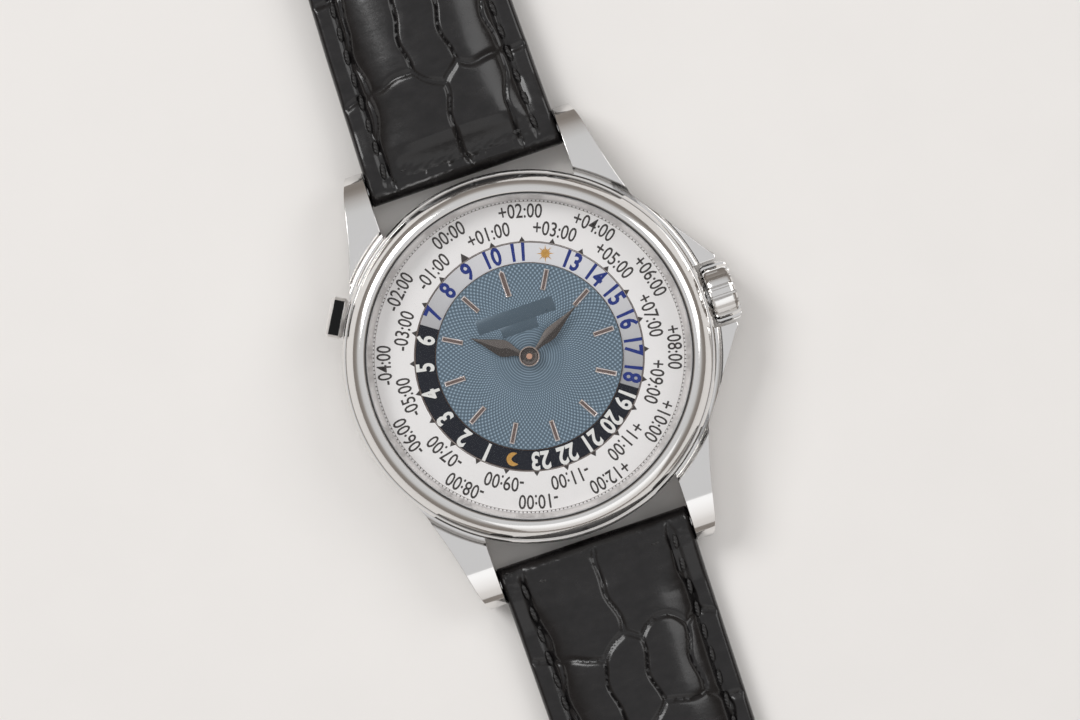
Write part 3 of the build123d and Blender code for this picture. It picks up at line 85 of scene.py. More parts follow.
class WatchCaseSettings(bpy.types.PropertyGroup):
    """Sizes and colours of the case and its metal pieces."""

    round_steps: bpy.props.IntProperty(
        name="Steps round", description="Steps round each turned piece", default=256
    )
    steel_colour: bpy.props.FloatVectorProperty(
        name="Steel", description="Colour of the polished case",
        subtype="COLOR", size=3, default=(0.80, 0.79, 0.78),
    )
    lug_edge: bpy.props.FloatProperty(
        name="Lug edge", description="Width of the polished edge of each lug",
        default=0.00022, unit="LENGTH",
    )
    crown_flutes: bpy.props.IntProperty(
        name="Crown flutes", description="Flutes round the crown", default=20
    )


class WatchDialSettings(bpy.types.PropertyGroup):
    """Sizes and colours of the dial, its rings and its hands."""

    dial_colour: bpy.props.FloatVectorProperty(
        name="Dial", description="Colour of the engine-turned centre",
        subtype="COLOR", size=3, default=(0.140, 0.200, 0.255),
    )
    night_colour: bpy.props.FloatVectorProperty(
        name="Night", description="Colour of the night half of the 24-hour ring",
        subtype="COLOR", size=3, default=(0.004, 0.006, 0.014),
    )
    day_colour: bpy.props.FloatVectorProperty(
        name="Day", description="Colour of the day half of the 24-hour ring",
        subtype="COLOR", size=3, default=(0.62, 0.62, 0.64),
    )
    city_colour: bpy.props.FloatVectorProperty(
        name="City disc", description="Colour of the satin silver city disc",
        subtype="COLOR", size=3, default=(0.88, 0.865, 0.86),
    )
    ink_colour: bpy.props.FloatVectorProperty(
        name="Ink", description="Colour of the printed offsets",
        subtype="COLOR", size=3, default=(0.045, 0.038, 0.036),
    )
    letter_height: bpy.props.FloatProperty(
        name="Letter height", description="Height of the printed offsets",
        default=0.00125, unit="LENGTH",
    )
    numeral_height: bpy.props.FloatProperty(
        name="Numeral height", description="Height of the numerals of the 24-hour ring",
        default=0.00152, unit="LENGTH",
    )


class WatchStrapSettings(bpy.types.PropertyGroup):
    """Sizes and colours of the leather strap."""

    leather_colour: bpy.props.FloatVectorProperty(
        name="Leather", description="Colour of the strap",
        subtype="COLOR", size=3, default=(0.0055, 0.0048, 0.0050),
    )
    groove_depth: bpy.props.FloatProperty(
        name="Groove depth", description="Depth of the grooves between the scales",
        default=0.00024, unit="LENGTH",
    )
    stitch_pitch: bpy.props.FloatProperty(
        name="Stitch pitch", description="Distance from one stitch to the next",
        default=0.0024, unit="LENGTH",
    )
    stitch_inset: bpy.props.FloatProperty(
        name="Stitch inset", description="Distance of the stitches from the strap's edge",
        default=0.0020, unit="LENGTH",
    )


class WatchStageSettings(bpy.types.PropertyGroup):
    """Floor, camera and lights."""

    floor_colour: bpy.props.FloatVectorProperty(
        name="Floor", description="Colour of the floor",
        subtype="COLOR", size=3, default=(0.78, 0.76, 0.74),
    )
    camera_height: bpy.props.FloatProperty(
        name="Camera height", description="Height of the camera above the dial",
        default=0.296, unit="LENGTH",
    )


# Small helpers, in millimetres and degrees


def deselect():
    """Leaves edit mode and selects nothing."""
    if bpy.context.mode != "OBJECT":
        bpy.ops.object.mode_set(mode="OBJECT")
    bpy.ops.object.select_all(action="DESELECT")


def choose(piece):
    """Makes the piece the active one and the only one selected."""
    deselect()
    piece.select_set(True)
    bpy.context.view_layer.objects.active = piece


def edit(mode="VERT"):
    """Enters edit mode on the active piece, with all of it selected."""
    bpy.ops.object.mode_set(mode="EDIT")
    bpy.ops.mesh.select_mode(type=mode)
    bpy.ops.mesh.select_all(action="SELECT")


def pick(piece, kind, test):
    """In edit mode, selects only the vertices or edges that pass a test."""
    bpy.ops.mesh.select_all(action="DESELECT")
    bpy.ops.object.mode_set(mode="OBJECT")
    for part in getattr(piece.data, kind):
        part.select = test(part)
    bpy.ops.object.mode_set(mode="EDIT")


def finish_faces(merge=0.0):
    """Merges doubles within this many metres, turns faces outwards and leaves edit mode."""
    bpy.ops.mesh.select_all(action="SELECT")
    if merge:
        bpy.ops.mesh.remove_doubles(threshold=merge)
    bpy.ops.mesh.normals_make_consistent(inside=False)
    deselect()


def outward(piece):
    """Merges the piece's doubles and turns its faces outwards."""
    choose(piece)
    edit()
    finish_faces(2e-7)


def settle():
    """Writes the active piece's place, turn and scale into its mesh."""
    bpy.ops.object.transform_apply(location=True, rotation=True, scale=True)


def taken(name):
    """The piece that was just added, named, with its place in its mesh."""
    piece = bpy.context.active_object
    piece.name = piece.data.name = name
    settle()
    return piece


def block(name, size, place, turn=0.0):
    """A cube stretched to a size and turned about Z, for more work on it."""
    deselect()
    bpy.ops.mesh.primitive_cube_add(size=1)
    cube = bpy.context.active_object
    cube.scale = [side * MM for side in size]
    cube.location = [spot * MM for spot in place]
    cube.rotation_euler.z = math.radians(turn)
    return taken(name)


def smooth(piece, angle=30.0):
    """Smooths the piece's shading up to this angle between faces."""
    choose(piece)
    bpy.ops.object.shade_smooth_by_angle(angle=math.radians(angle))


def applied(piece, kind, **values):
    """Adds a modifier with these values and applies it."""
    choose(piece)
    modifier = piece.modifiers.new(kind.title(), kind)
    for key, value in values.items():
        setattr(modifier, key, value)
    bpy.ops.object.modifier_apply(modifier=modifier.name)


def weighted(piece, angle):
    """Smooths the piece's shading with its large faces kept flat."""
    smooth(piece, angle)
    applied(piece, "WEIGHTED_NORMAL", keep_sharp=True)


def bevelled(piece, width, segments, angle=30):
    """Breaks the edges of the piece that are sharper than an angle."""
    applied(piece, "BEVEL", width=width * MM, segments=segments, limit_method="ANGLE",
            angle_limit=math.radians(angle))


def cut(piece, *tools):
    """Cuts the tools out of the piece and deletes them."""
    for tool in tools:
        applied(piece, "BOOLEAN", operation="DIFFERENCE", object=tool, solver="EXACT")
        bpy.data.objects.remove(tool)


def joined(name, pieces):
    """One piece made of several."""
    choose(pieces[0])
    for piece in pieces:
        piece.select_set(True)
    if len(pieces) > 1:
        bpy.ops.object.join()
    pieces[0].name = pieces[0].data.name = name
    return pieces[0]


def copied(piece):
    """A copy of the piece with its own mesh."""
    copy = piece.copy()
    copy.data = piece.data.copy()
    bpy.context.collection.objects.link(copy)
    choose(copy)
    return copy


def set_down(piece, x, y, z, turn=0.0, scale=1.0):
    """A copy of the piece, scaled, turned about Z and moved."""
    copy = copied(piece)
    copy.scale = (scale, scale, scale)
    copy.rotation_euler = (0, 0, math.radians(turn))
    copy.location = (x * MM, y * MM, z * MM)
    settle()
    return copy


def mirrored(piece, x, y):
    """A copy of the piece, mirrored where x or y is -1."""
    copy = copied(piece)
    copy.scale = (x, y, 1)
    settle()
    outward(copy)
    return copy


def softened(node, name, width):
    """A merged copy of a solid of the frame with its edges broken."""
    copy = bpy.data.objects.new(name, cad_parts[node].data.copy())
    copy.data.name = name
    bpy.context.collection.objects.link(copy)
    outward(copy)
    applied(copy, "DECIMATE", decimate_type="DISSOLVE", angle_limit=math.radians(3))
    bevelled(copy, width, 3, 35)
    weighted(copy, 40)
    return copy


def placed(piece, body, material, slot, *replaces):
    """Gives a piece its material and its body, and hides the solids that it stands for; the slot
    is not used.
    """
    piece.data.materials.clear()
    piece.data.materials.append(material)
    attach(piece, body)
    if replaces:
        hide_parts(*replaces)


def dress(material, *nodes):
    """Gives solids of the frame this material."""
    for node in nodes:
        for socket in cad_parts[node].material_slots:
            socket.material = material


def curve_through(points, steps):
    """A smooth line through points, as a list of points."""
    points = [np.array(p, float) for p in points]
    ends = [2 * points[0] - points[1], *points, 2 * points[-1] - points[-2]]
    line = []
    for a, b, c, d in zip(ends, ends[1:], ends[2:], ends[3:]):
        for t in (step / steps for step in range(steps)):
            line.append(0.5 * (2 * b + (c - a) * t + (2 * a - 5 * b + 4 * c - d) * t * t
                               + (3 * b - a - 3 * c + d) * t**3))
    line.append(points[-1])
    return [tuple(float(x) for x in p) for p in line]


def at(points, place):
    """The height at a place on straight lines through points."""
    return float(np.interp(place, [p[0] for p in points], [p[1] for p in points]))


def clockwise(radius, angle):
    """The point at this radius and angle clockwise from 12."""
    turn = math.radians(90 - angle)
    return radius * math.cos(turn), radius * math.sin(turn)


def turned(name, profile, steps=None, closed=True):
    """A turned piece: a circle extruded through (radius, height) points.

    A closed profile runs back to its first point; an open one gets a face at both ends.
    """
    if closed:
        profile = [*profile, profile[0]]
    deselect()
    bpy.ops.mesh.primitive_circle_add(
        vertices=steps or bpy.context.scene.watch_case.round_steps,
        radius=profile[0][0] * MM, location=(0, 0, profile[0][1] * MM),
    )
    piece = taken(name)
    edit()
    for (r, z), (next_r, next_z) in zip(profile, profile[1:]):
        bpy.ops.mesh.extrude_region()
        bpy.ops.transform.resize(value=(next_r / r, next_r / r, 1), center_override=(0, 0, 0))
        bpy.ops.transform.translate(value=(0, 0, (next_z - z) * MM))
    if not closed:
        bpy.ops.mesh.edge_face_add()
        bpy.ops.mesh.select_all(action="DESELECT")
        bpy.ops.mesh.select_non_manifold()
        bpy.ops.mesh.edge_face_add()
    finish_faces(2e-7)
    return piece


def grown(name, sections, along):
    """A bar grown along X or Y through (place, low, high, bottom, top) sections."""
    deselect()
    turn = (math.pi / 2, 0, 0) if along == "Y" else (0, math.pi / 2, 0)
    bpy.ops.mesh.primitive_plane_add(size=1, rotation=turn)
    piece = taken(name)
    edit()
    was = (0, -0.5 / MM, 0.5 / MM, -0.5 / MM, 0.5 / MM)
    for count, section in enumerate(sections):
        if count:
            bpy.ops.mesh.extrude_region()
        wide = (section[2] - section[1]) / (was[2] - was[1])
        high = (section[4] - section[3]) / (was[4] - was[3])
        across, up = (was[1] + was[2]) / 2 * MM, (was[3] + was[4]) / 2 * MM
        step = (section[0] - was[0]) * MM
        aside = (section[1] + section[2] - was[1] - was[2]) / 2 * MM
        rise = (section[3] + section[4] - was[3] - was[4]) / 2 * MM
        size, middle, move = (1, wide, high), (was[0] * MM, across, up), (step, aside, rise)
        if along == "Y":
            size, middle, move = ((b, a, c) for a, b, c in (size, middle, move))
        bpy.ops.transform.resize(value=size, center_override=middle)
        bpy.ops.transform.translate(value=move)
        was = section
    finish_faces()
    return piece


def flat_shape(name, outline, level, thickness):
    """A thin flat piece from an outline."""
    deselect()
    bpy.ops.mesh.primitive_circle_add(vertices=len(outline), radius=MM, fill_type="NGON")
    piece = taken(name)
    for vertex, (x, y) in zip(piece.data.vertices, outline):
        vertex.co = (x * MM, y * MM, level * MM)
    edit()
    bpy.ops.mesh.extrude_region()
    bpy.ops.transform.translate(value=(0, 0, thickness * MM))
    finish_faces()
    return piece


# Materials


def fill_ramp(ramp, stops):
    """Gives a colour ramp its (place, colour) stops."""
    for count, (place, colour) in enumerate(stops):
        stop = ramp.elements[count] if count < 2 else ramp.elements.new(place)
        stop.position = place
        stop.color = (*colour, 1)


class Nodes:
    """The nodes of one material, added one after another."""

    def __init__(self, name, colour, metallic=0.0, roughness=0.4):
        self.material = bpy.data.materials.new(name)
        self.material.use_nodes = True
        self.tree = self.material.node_tree
        self.shader = self.tree.nodes["Principled BSDF"]
        self.set("Base Color", (*colour, 1))
        self.set("Metallic", metallic)
        self.set("Roughness", roughness)
        spots = self.add("ShaderNodeTexCoord").outputs
        self.place, self.normal = spots["Object"], spots["Normal"]

    def add(self, kind, **values):
        """A node of this kind with these settings."""
        node = self.tree.nodes.new(kind)
        for key, value in values.items():
            setattr(node, key, value)
        return node

    def link(self, source, target):
        """Joins an output to an input."""
        self.tree.links.new(source, target)

    def set(self, socket, value):
        """A uniform value on the shader's own socket."""
        self.shader.inputs[socket].default_value = value

    def drive(self, socket, source):
        """Feeds a shader socket from an output."""
        self.link(source, self.shader.inputs[socket])

    def feed(self, target, value):
        """Gives an input a number, or an output to follow."""
        if isinstance(value, (int, float)):
            target.default_value = value
        else:
            self.link(value, target)

    def math(self, operation, *values):
        """The output of one sum of outputs or numbers."""
        node = self.add("ShaderNodeMath", operation=operation)
        for target, value in zip(node.inputs, values):
            self.feed(target, value)
        return node.outputs[0]

    def parts(self, source):
        """The X, Y and Z of a place or a normal."""
        node = self.add("ShaderNodeSeparateXYZ")
        self.link(source, node.inputs[0])
        return node.outputs

    def noise(self, size, detail=3.0, roughness=0.5, stretch=(1, 1, 1)):
        """Noise whose grains are about this many millimetres across."""
        mapping = self.add("ShaderNodeMapping")
        mapping.inputs["Scale"].default_value = stretch
        self.link(self.place, mapping.inputs["Vector"])
        node = self.add("ShaderNodeTexNoise")
        self.link(mapping.outputs[0], node.inputs["Vector"])
        for socket, value in (("Scale", 1 / (size * MM)), ("Detail", detail),
                              ("Roughness", roughness)):
            node.inputs[socket].default_value = value
        return node.outputs[0]

    def cells(self, feature, size, randomness=1.0):
        """The distances in cells that are about this many millimetres across."""
        node = self.add("ShaderNodeTexVoronoi", feature=feature)
        node.inputs["Scale"].default_value = 1 / (size * MM)
        node.inputs["Randomness"].default_value = randomness
        self.link(self.place, node.inputs["Vector"])
        return node.outputs["Distance"]

    def ramp(self, source, stops):
        """A colour ramp of (place, colour) stops."""
        node = self.add("ShaderNodeValToRGB")
        fill_ramp(node.color_ramp, stops)
        self.link(source, node.inputs[0])
        return node.outputs[0]

    def range(self, source, low, high):
        """The source from 0 to 1 spread from low to high."""
        node = self.add("ShaderNodeMapRange")
        node.inputs["To Min"].default_value = low
        node.inputs["To Max"].default_value = high
        self.link(source, node.inputs["Value"])
        return node.outputs[0]

    def mix(self, factor, first, second):
        """A mix of two colours, each an output or a colour."""
        node = self.add("ShaderNodeMix", data_type="RGBA")
        self.link(factor, node.inputs[0])
        for target, value in zip(node.inputs[6:8], (first, second)):
            if isinstance(value, (tuple, list)):
                target.default_value = (*value, 1)
            else:
                self.link(value, target)
        return node.outputs[2]

    def bump(self, height, depth, strength, before=None):
        """Bumps of this depth in millimetres from a height of 0 to 1."""
        node = self.add("ShaderNodeBump")
        node.inputs["Strength"].default_value = strength
        node.inputs["Distance"].default_value = depth * MM
        self.link(height, node.inputs["Height"])
        if before is not None:
            self.link(before, node.inputs["Normal"])
        return node.outputs[0]

    def uneven(self, source, low, high, depth=0.0, strength=0.3):
        """Spreads the roughness from low to high, and adds bumps where they have a depth."""
        self.drive("Roughness", self.range(source, low, high))
        if depth:
            self.drive("Normal", self.bump(source, depth, strength))
        return self.material

    def polar(self, centre=(0.0, 0.0)):
        """Radius in millimetres and angle in radians about a centre."""
        parts = self.parts(self.place)
        x = self.math("MULTIPLY_ADD", parts[0], 1 / MM, -centre[0])
        y = self.math("MULTIPLY_ADD", parts[1], 1 / MM, -centre[1])
        square = self.math("ADD", self.math("MULTIPLY", x, x), self.math("MULTIPLY", y, y))
        return self.math("SQRT", square), self.math("ARCTAN2", y, x)


def times(colour, factor, more=0.0):
    """A colour made lighter or darker."""
    return tuple(min(1.0, c * factor + more) for c in colour)


def polished_steel(name, colour, roughness=0.07):
    """Mirror-polished steel with fine wipe marks."""
    m = Nodes(name, colour, 1.0, roughness)
    m.drive("Normal", m.bump(m.noise(0.25, 4.0, 0.7, (9, 1, 3)), 0.0006, 0.35))
    return m.uneven(m.noise(0.9, 5.0, 0.6, (1, 6, 1)), roughness * 0.6, roughness * 1.9)


def grained_steel():
    """Straight-grained steel of the small works."""
    m = Nodes("Grained works", (0.60, 0.60, 0.60), 1.0, 0.28)
    return m.uneven(m.noise(0.2, 4.0, 0.6, (14, 1, 1)), 0.196, 0.378, 0.003, 0.5)


def circled_metal(name, colour, centre, roughness=0.22):
    """Metal with circular graining round a centre."""
    m = Nodes(name, colour, 1.0, roughness)
    radius, _ = m.polar(centre)
    speckle = m.noise(0.3, 4.0)
    rings = m.math("SINE", m.math("MULTIPLY", radius, 42.0))
    m.drive("Normal", m.bump(m.math("MULTIPLY_ADD", rings, 0.25, speckle), 0.004, 0.5))
    return m.uneven(speckle, roughness * 0.7, roughness * 1.4)


def two_tone_rotor():
    """Gold rotor: a heavy half with broad rays and a light half with fine rings."""
    m = Nodes("Gold rotor", (0.80, 0.56, 0.26), 1.0, 0.2)
    radius, angle = m.polar(ROTOR_CENTRE)
    heavy = m.math("GREATER_THAN", m.math("SINE", angle), 0.0)
    rim = m.math("MULTIPLY", heavy, m.math("GREATER_THAN", radius, 2.6))
    rings = m.math("SINE", m.math("MULTIPLY", radius, 26.0))
    rays = m.math("SINE", m.math("MULTIPLY", angle, 48.0))
    m.drive("Base Color", m.mix(rim, (0.62, 0.44, 0.21), (0.86, 0.62, 0.30)))
    m.drive("Roughness", m.math("MULTIPLY_ADD", rim, -0.12, 0.30))
    first = m.bump(rings, 0.012, 0.5)
    second = m.bump(m.math("MULTIPLY", rays, rim), 0.03, 0.5, first)
    m.drive("Normal", m.bump(rim, 0.10, 0.6, second))
    return m.material


def striped_bridge():
    """Rhodium bridge with broad waves and a fine grain along them."""
    m = Nodes("Striped bridge", (0.62, 0.62, 0.60), 1.0, 0.2)
    parts = m.parts(m.place)
    along = m.math("MULTIPLY", m.math("ADD", parts[0], parts[1]), 0.7071 / MM)
    wave = m.math("FRACT", m.math("MULTIPLY", along, 0.55))
    hollow = m.math("MULTIPLY", wave, m.math("SUBTRACT", 1.0, wave))
    grain = m.noise(0.15, 4.0, 0.6, (1, 12, 1))
    m.drive("Normal", m.bump(m.math("MULTIPLY_ADD", grain, 0.03, hollow), 0.12, 0.6))
    m.drive("Base Color", m.ramp(wave, [(0.0, (0.50, 0.50, 0.48)), (1.0, (0.72, 0.72, 0.70))]))
    return m.uneven(grain, 0.14, 0.30)


def pearled_plate():
    """Rhodium plate with overlapping ground circles."""
    m = Nodes("Pearled plate", (0.60, 0.60, 0.58), 1.0, 0.24)
    distance = m.cells("F1", 1.1, 0.15)
    rings = m.math("SINE", m.math("MULTIPLY", distance, 60.0))
    m.drive("Normal", m.bump(rings, 0.006, 0.4))
    return m.uneven(distance, 0.16, 0.32)


def engine_turned(colour):
    """The dial's centre: rings near the middle, a lattice of cut points outwards."""
    m = Nodes("Engine-turned dial", colour, 0.35, 0.36)
    radius, angle = m.polar()
    ring_pitch, points_round = 0.25, 120
    rings = m.math("COSINE", m.math("MULTIPLY", radius, math.pi / ring_pitch))
    spokes = m.math("COSINE", m.math("MULTIPLY", angle, points_round))
    lattice = m.math("MULTIPLY", rings, spokes)
    fine = m.math("COSINE", m.math("MULTIPLY", radius, 2 * math.pi / ring_pitch))
    blend = m.add("ShaderNodeMapRange", interpolation_type="SMOOTHSTEP")
    blend.inputs["From Min"].default_value = 2.0
    blend.inputs["From Max"].default_value = 4.2
    m.link(radius, blend.inputs["Value"])
    share = blend.outputs[0]
    near = m.math("MULTIPLY", fine, m.math("SUBTRACT", 1.0, share))
    pattern = m.math("MULTIPLY_ADD", lattice, share, m.math("MULTIPLY", near, 0.6))
    height = m.math("MULTIPLY_ADD", pattern, 0.5, 0.5)
    stops = [(0.15, times(colour, 0.72)), (0.95, times(colour, 1.9, 0.10)), (0.6, colour)]
    m.drive("Base Color", m.ramp(height, stops))
    m.drive("Normal", m.bump(height, 0.03, 0.6))
    return m.material


def satin_silver(name, colour):
    """Satin silver with a very fine sunray grain."""
    m = Nodes(name, colour, 0.0, 0.42)
    m.set("Coat Weight", 0.2)
    _, angle = m.polar()
    rays = m.add("ShaderNodeTexNoise", noise_dimensions="1D")
    rays.inputs["Scale"].default_value = 60.0
    rays.inputs["Detail"].default_value = 4.0
    m.link(m.math("MULTIPLY", angle, 2.0), rays.inputs["W"])
    return m.uneven(rays.outputs[0], 0.34, 0.50, 0.002)


def day_and_night(day, night):
    """The 24-hour ring: silver by day, night blue from 18 to 6."""
    m = Nodes("Day and night", day, 0.2, 0.35)
    _, angle = m.polar()
    from_noon, from_middle = (
        m.math("COSINE", m.math("SUBTRACT", angle, math.radians(90 - place)))
        for place in (NOON, MIDDLE_OF_DAY)
    )
    shade = m.ramp(m.math("MULTIPLY_ADD", from_noon, 0.5, 0.5),
                   [(0.45, times(day, 0.62)), (1.0, times(day, 1.25))])
    m.drive("Base Color", m.mix(m.math("GREATER_THAN", from_middle, 0.0), night, shade))
    return m.uneven(m.noise(0.25, 3.0), 0.28, 0.42, 0.001)


def printed_ink(name, colour, roughness=0.35):
    """Printed ink with a slightly uneven film."""
    m = Nodes(name, colour, 0.0, roughness)
    return m.uneven(m.noise(0.12, 3.0), roughness * 0.8, roughness * 1.3, 0.001)


def gilt_print():
    """Warm gold print."""
    m = Nodes("Gilt print", (0.62, 0.34, 0.09), 0.35, 0.35)
    film = m.noise(0.15, 3.0)
    m.drive("Base Color", m.ramp(film, [(0.3, (0.50, 0.26, 0.06)), (0.7, (0.70, 0.40, 0.11))]))
    return m.uneven(film, 0.28, 0.45)


def dark_polish(name, colour):
    """Dark polished steel of the hands, with painted light and shade: the facet leaning towards
    the upper left painted lighter, the other darker, and a painted highlight on the hub edge.
    """
    m = Nodes(name, colour, 1.0, 0.24)
    parts = m.parts(m.normal)
    # Painted light and shade: faces whose normals lean towards the upper left are painted lighter,
    # the rest darker.
    leaning = m.math("MULTIPLY_ADD", parts[1], 0.98, m.math("MULTIPLY", parts[0], -0.2))
    painted_lit_side = m.math("GREATER_THAN", leaning, 0.0)
    facets = m.mix(painted_lit_side, times(colour, 0.62), times(colour, 1.2))
    radius, _ = m.polar()
    # Painted highlight: a bright ring painted round the hub's edge, 0.89 to 1.01 mm from the
    # centre.
    edge = m.math("MULTIPLY", m.math("GREATER_THAN", radius, 0.89),
                  m.math("LESS_THAN", radius, 1.01))
    m.drive("Base Color", m.mix(edge, facets, (0.62, 0.52, 0.47)))
    return m.uneven(m.noise(0.5, 4.0, 0.6, (8, 1, 1)), 0.18, 0.32, 0.0004, 0.2)


def clear_crystal():
    """Sapphire with a coating that hardly reflects."""
    m = Nodes("Sapphire", (0.02, 0.022, 0.025), 0.0, 0.02)
    m.set("Alpha", 0.05)
    m.set("IOR", 1.5)
    return m.uneven(m.noise(3.0, 2.0), 0.01, 0.05)


def scaled_leather(colour, gloss=0.19):
    """Glossy black leather: pores, fine creases and a worn sheen."""
    m = Nodes("Scaled leather", colour, 0.0, gloss)
    m.set("Coat Weight", 0.18)
    m.set("Coat Roughness", 0.12)
    m.set("Specular IOR Level", 0.34)
    creases = m.noise(1.6, 6.0, 0.62, (1, 1.6, 1))
    m.drive("Base Color", m.ramp(creases, [(0.35, colour), (0.8, times(colour, 1.9, 0.002))]))
    first = m.bump(creases, 0.05, 0.4)
    m.drive("Normal", m.bump(m.cells("DISTANCE_TO_EDGE", 0.55), 0.012, 0.35, first))
    return m.uneven(creases, gloss * 0.7, gloss * 1.9)


def waxed_thread():
    """Black waxed thread with a twist."""
    m = Nodes("Waxed thread", (0.012, 0.011, 0.011), 0.0, 0.45)
    parts = m.parts(m.place)
    turn = m.math("MULTIPLY", m.math("ADD", parts[0], parts[1]), 16000.0)
    m.drive("Normal", m.bump(m.math("SINE", turn), 0.03, 0.7))
    return m.uneven(m.noise(0.2), 0.35, 0.6)


def pale_floor(colour):
    """Smooth pale board."""
    m = Nodes("Pale board", colour, 0.0, 0.7)
    fleck = m.noise(9.0, 4.0)
    m.drive("Base Color", m.ramp(fleck, [(0.3, times(colour, 0.985)), (0.7, colour)]))
    return m.uneven(fleck, 0.62, 0.78)


# Operators, one for each piece or group, with the functions that they need


def cut_round_case(piece):
    """Cuts the cove beside the bezel and the case's inside out of a lug or a guard."""
    cove_x, cove_z, cove_radius = 18.66, 5.55, 0.46
    arc = [(cove_x - cove_radius * math.cos(t), cove_z - cove_radius * math.sin(t))
           for t in np.linspace(0.0, math.pi, 15)]
    cove = turned("cove", [(18.2, 7.4), *arc, (19.2, 6.3), (19.5, 7.4)])
    cut(piece, cove, turned("inner", [(17.9, 0.2), (17.9, 7.4)], closed=False))


class WATCH_OT_case(bpy.types.Operator):
    """Makes the case middle with its lugs, coves and crown guards."""

    bl_idname = "watch.case"
    bl_label = "Case middle"

    def execute(self, context):
        settings = context.scene.watch_case
        band = turned("case_band", [
            (13.9, 1.0), (18.05, 1.0), (18.35, 1.12), (18.5, 1.4), (18.5, 6.05),
            (18.44, 6.3), (18.26, 6.5), (16.16, 6.5), (16.16, 5.75), (13.9, 5.75),
        ])
        spot = clockwise(19.2, 90 - PUSHER_TURN)
        cut(band, block("pocket", (3.2, 4.55, 2.7), (*spot, PUSHER_LEVEL), PUSHER_TURN))
        outer = curve_through([(9.0, 15.9), (11.8, 14.75), (14.2, 13.95), (16.6, 13.3),
                               (18.6, 12.85), (20.6, 12.45), (21.9, 12.1), (22.7, 11.75)], 4)
        top = curve_through([(9.0, 6.5), (13.0, 6.5), (16.6, 6.35), (18.9, 6.0), (20.7, 5.25),
                             (21.8, 4.45), (22.4, 3.75), (22.7, 2.9)], 4)
        bottom = [(9.0, 1.0), (15.5, 1.0), (19.6, 0.55), (21.6, 0.6), (22.7, 0.8)]
        inner = 10.0
        lug = grown("lug", [(y, inner, at(outer, y), at(bottom, y), z) for y, z in top], "Y")
        bevelled(lug, settings.lug_edge / MM, 3, 40)
        edge = curve_through([(13.2, 14.0), (15.4, 11.0), (17.5, 8.0), (19.1, 5.75),
                              (20.1, 4.3), (20.6, 3.75)], 3)
        guard = grown("guard", [(x, 3.25, y, 1.6, 5.95) for x, y in edge], "X")
        bevelled(guard, 0.12, 3, 40)
        for limb in (lug, guard):
            cut_round_case(limb)
        limbs = [mirrored(lug, x, y) for x, y in ((-1, 1), (1, -1), (-1, -1))]
        whole = joined("case_body", [band, lug, *limbs, guard, mirrored(guard, 1, -1)])
        weighted(whole, 34)
        placed(whole, "case", polished_steel("Polished case", settings.steel_colour),
               "case_steel", "case_middle")
        return {"FINISHED"}


class WATCH_OT_bezel(bpy.types.Operator):
    """Makes the bezel with its round brow, the flange, the gasket and the crystal."""

    bl_idname = "watch.bezel"
    bl_label = "Bezel, flange and crystal"

    def execute(self, context):
        brow = curve_through([(16.24, 8.60), (16.55, 8.56), (16.9, 8.44), (17.25, 8.20),
                              (17.6, 7.82), (17.88, 7.36), (18.06, 6.98)], 8)
        bezel = turned("bezel_ring", [
            (16.15, 6.5), (16.15, 8.54), *brow, (18.1, 6.93), (18.2, 6.92), (18.25, 6.87),
            (18.25, 6.5),
        ])
        smooth(bezel, 24)
        steel = polished_steel("Polished bezel", context.scene.watch_case.steel_colour, 0.09)
        placed(bezel, "case", steel, "case_steel", "bezel")
        flange = turned("flange_ring", [(15.50, 6.15), (15.92, 7.74), (16.14, 7.74),
                                        (16.14, 6.15)])
        smooth(flange, 20)
        placed(flange, "case", polished_steel("Satin flange", (0.90, 0.88, 0.87), 0.34),
               "case_steel", "dial_flange")
        gasket = turned("gasket_ring", [(16.01, 7.75), (16.15, 7.75), (16.15, 8.52),
                                        (16.01, 8.52)])
        placed(gasket, "case", printed_ink("Black gasket", (0.015, 0.014, 0.014), 0.5),
               "gasket_black", "crystal_gasket")
        crystal = turned("crystal_disc", [
            (0.02, 7.75), (15.99, 7.75), (15.99, 8.70), (15.93, 8.80), (15.64, 9.03),
            (15.5, 9.05), (0.02, 9.05)], closed=False)
        smooth(crystal, 40)
        glass = clear_crystal()
        placed(crystal, "case", glass, "crystal_glass", "crystal")
        dress(glass, "back_crystal")
        return {"FINISHED"}


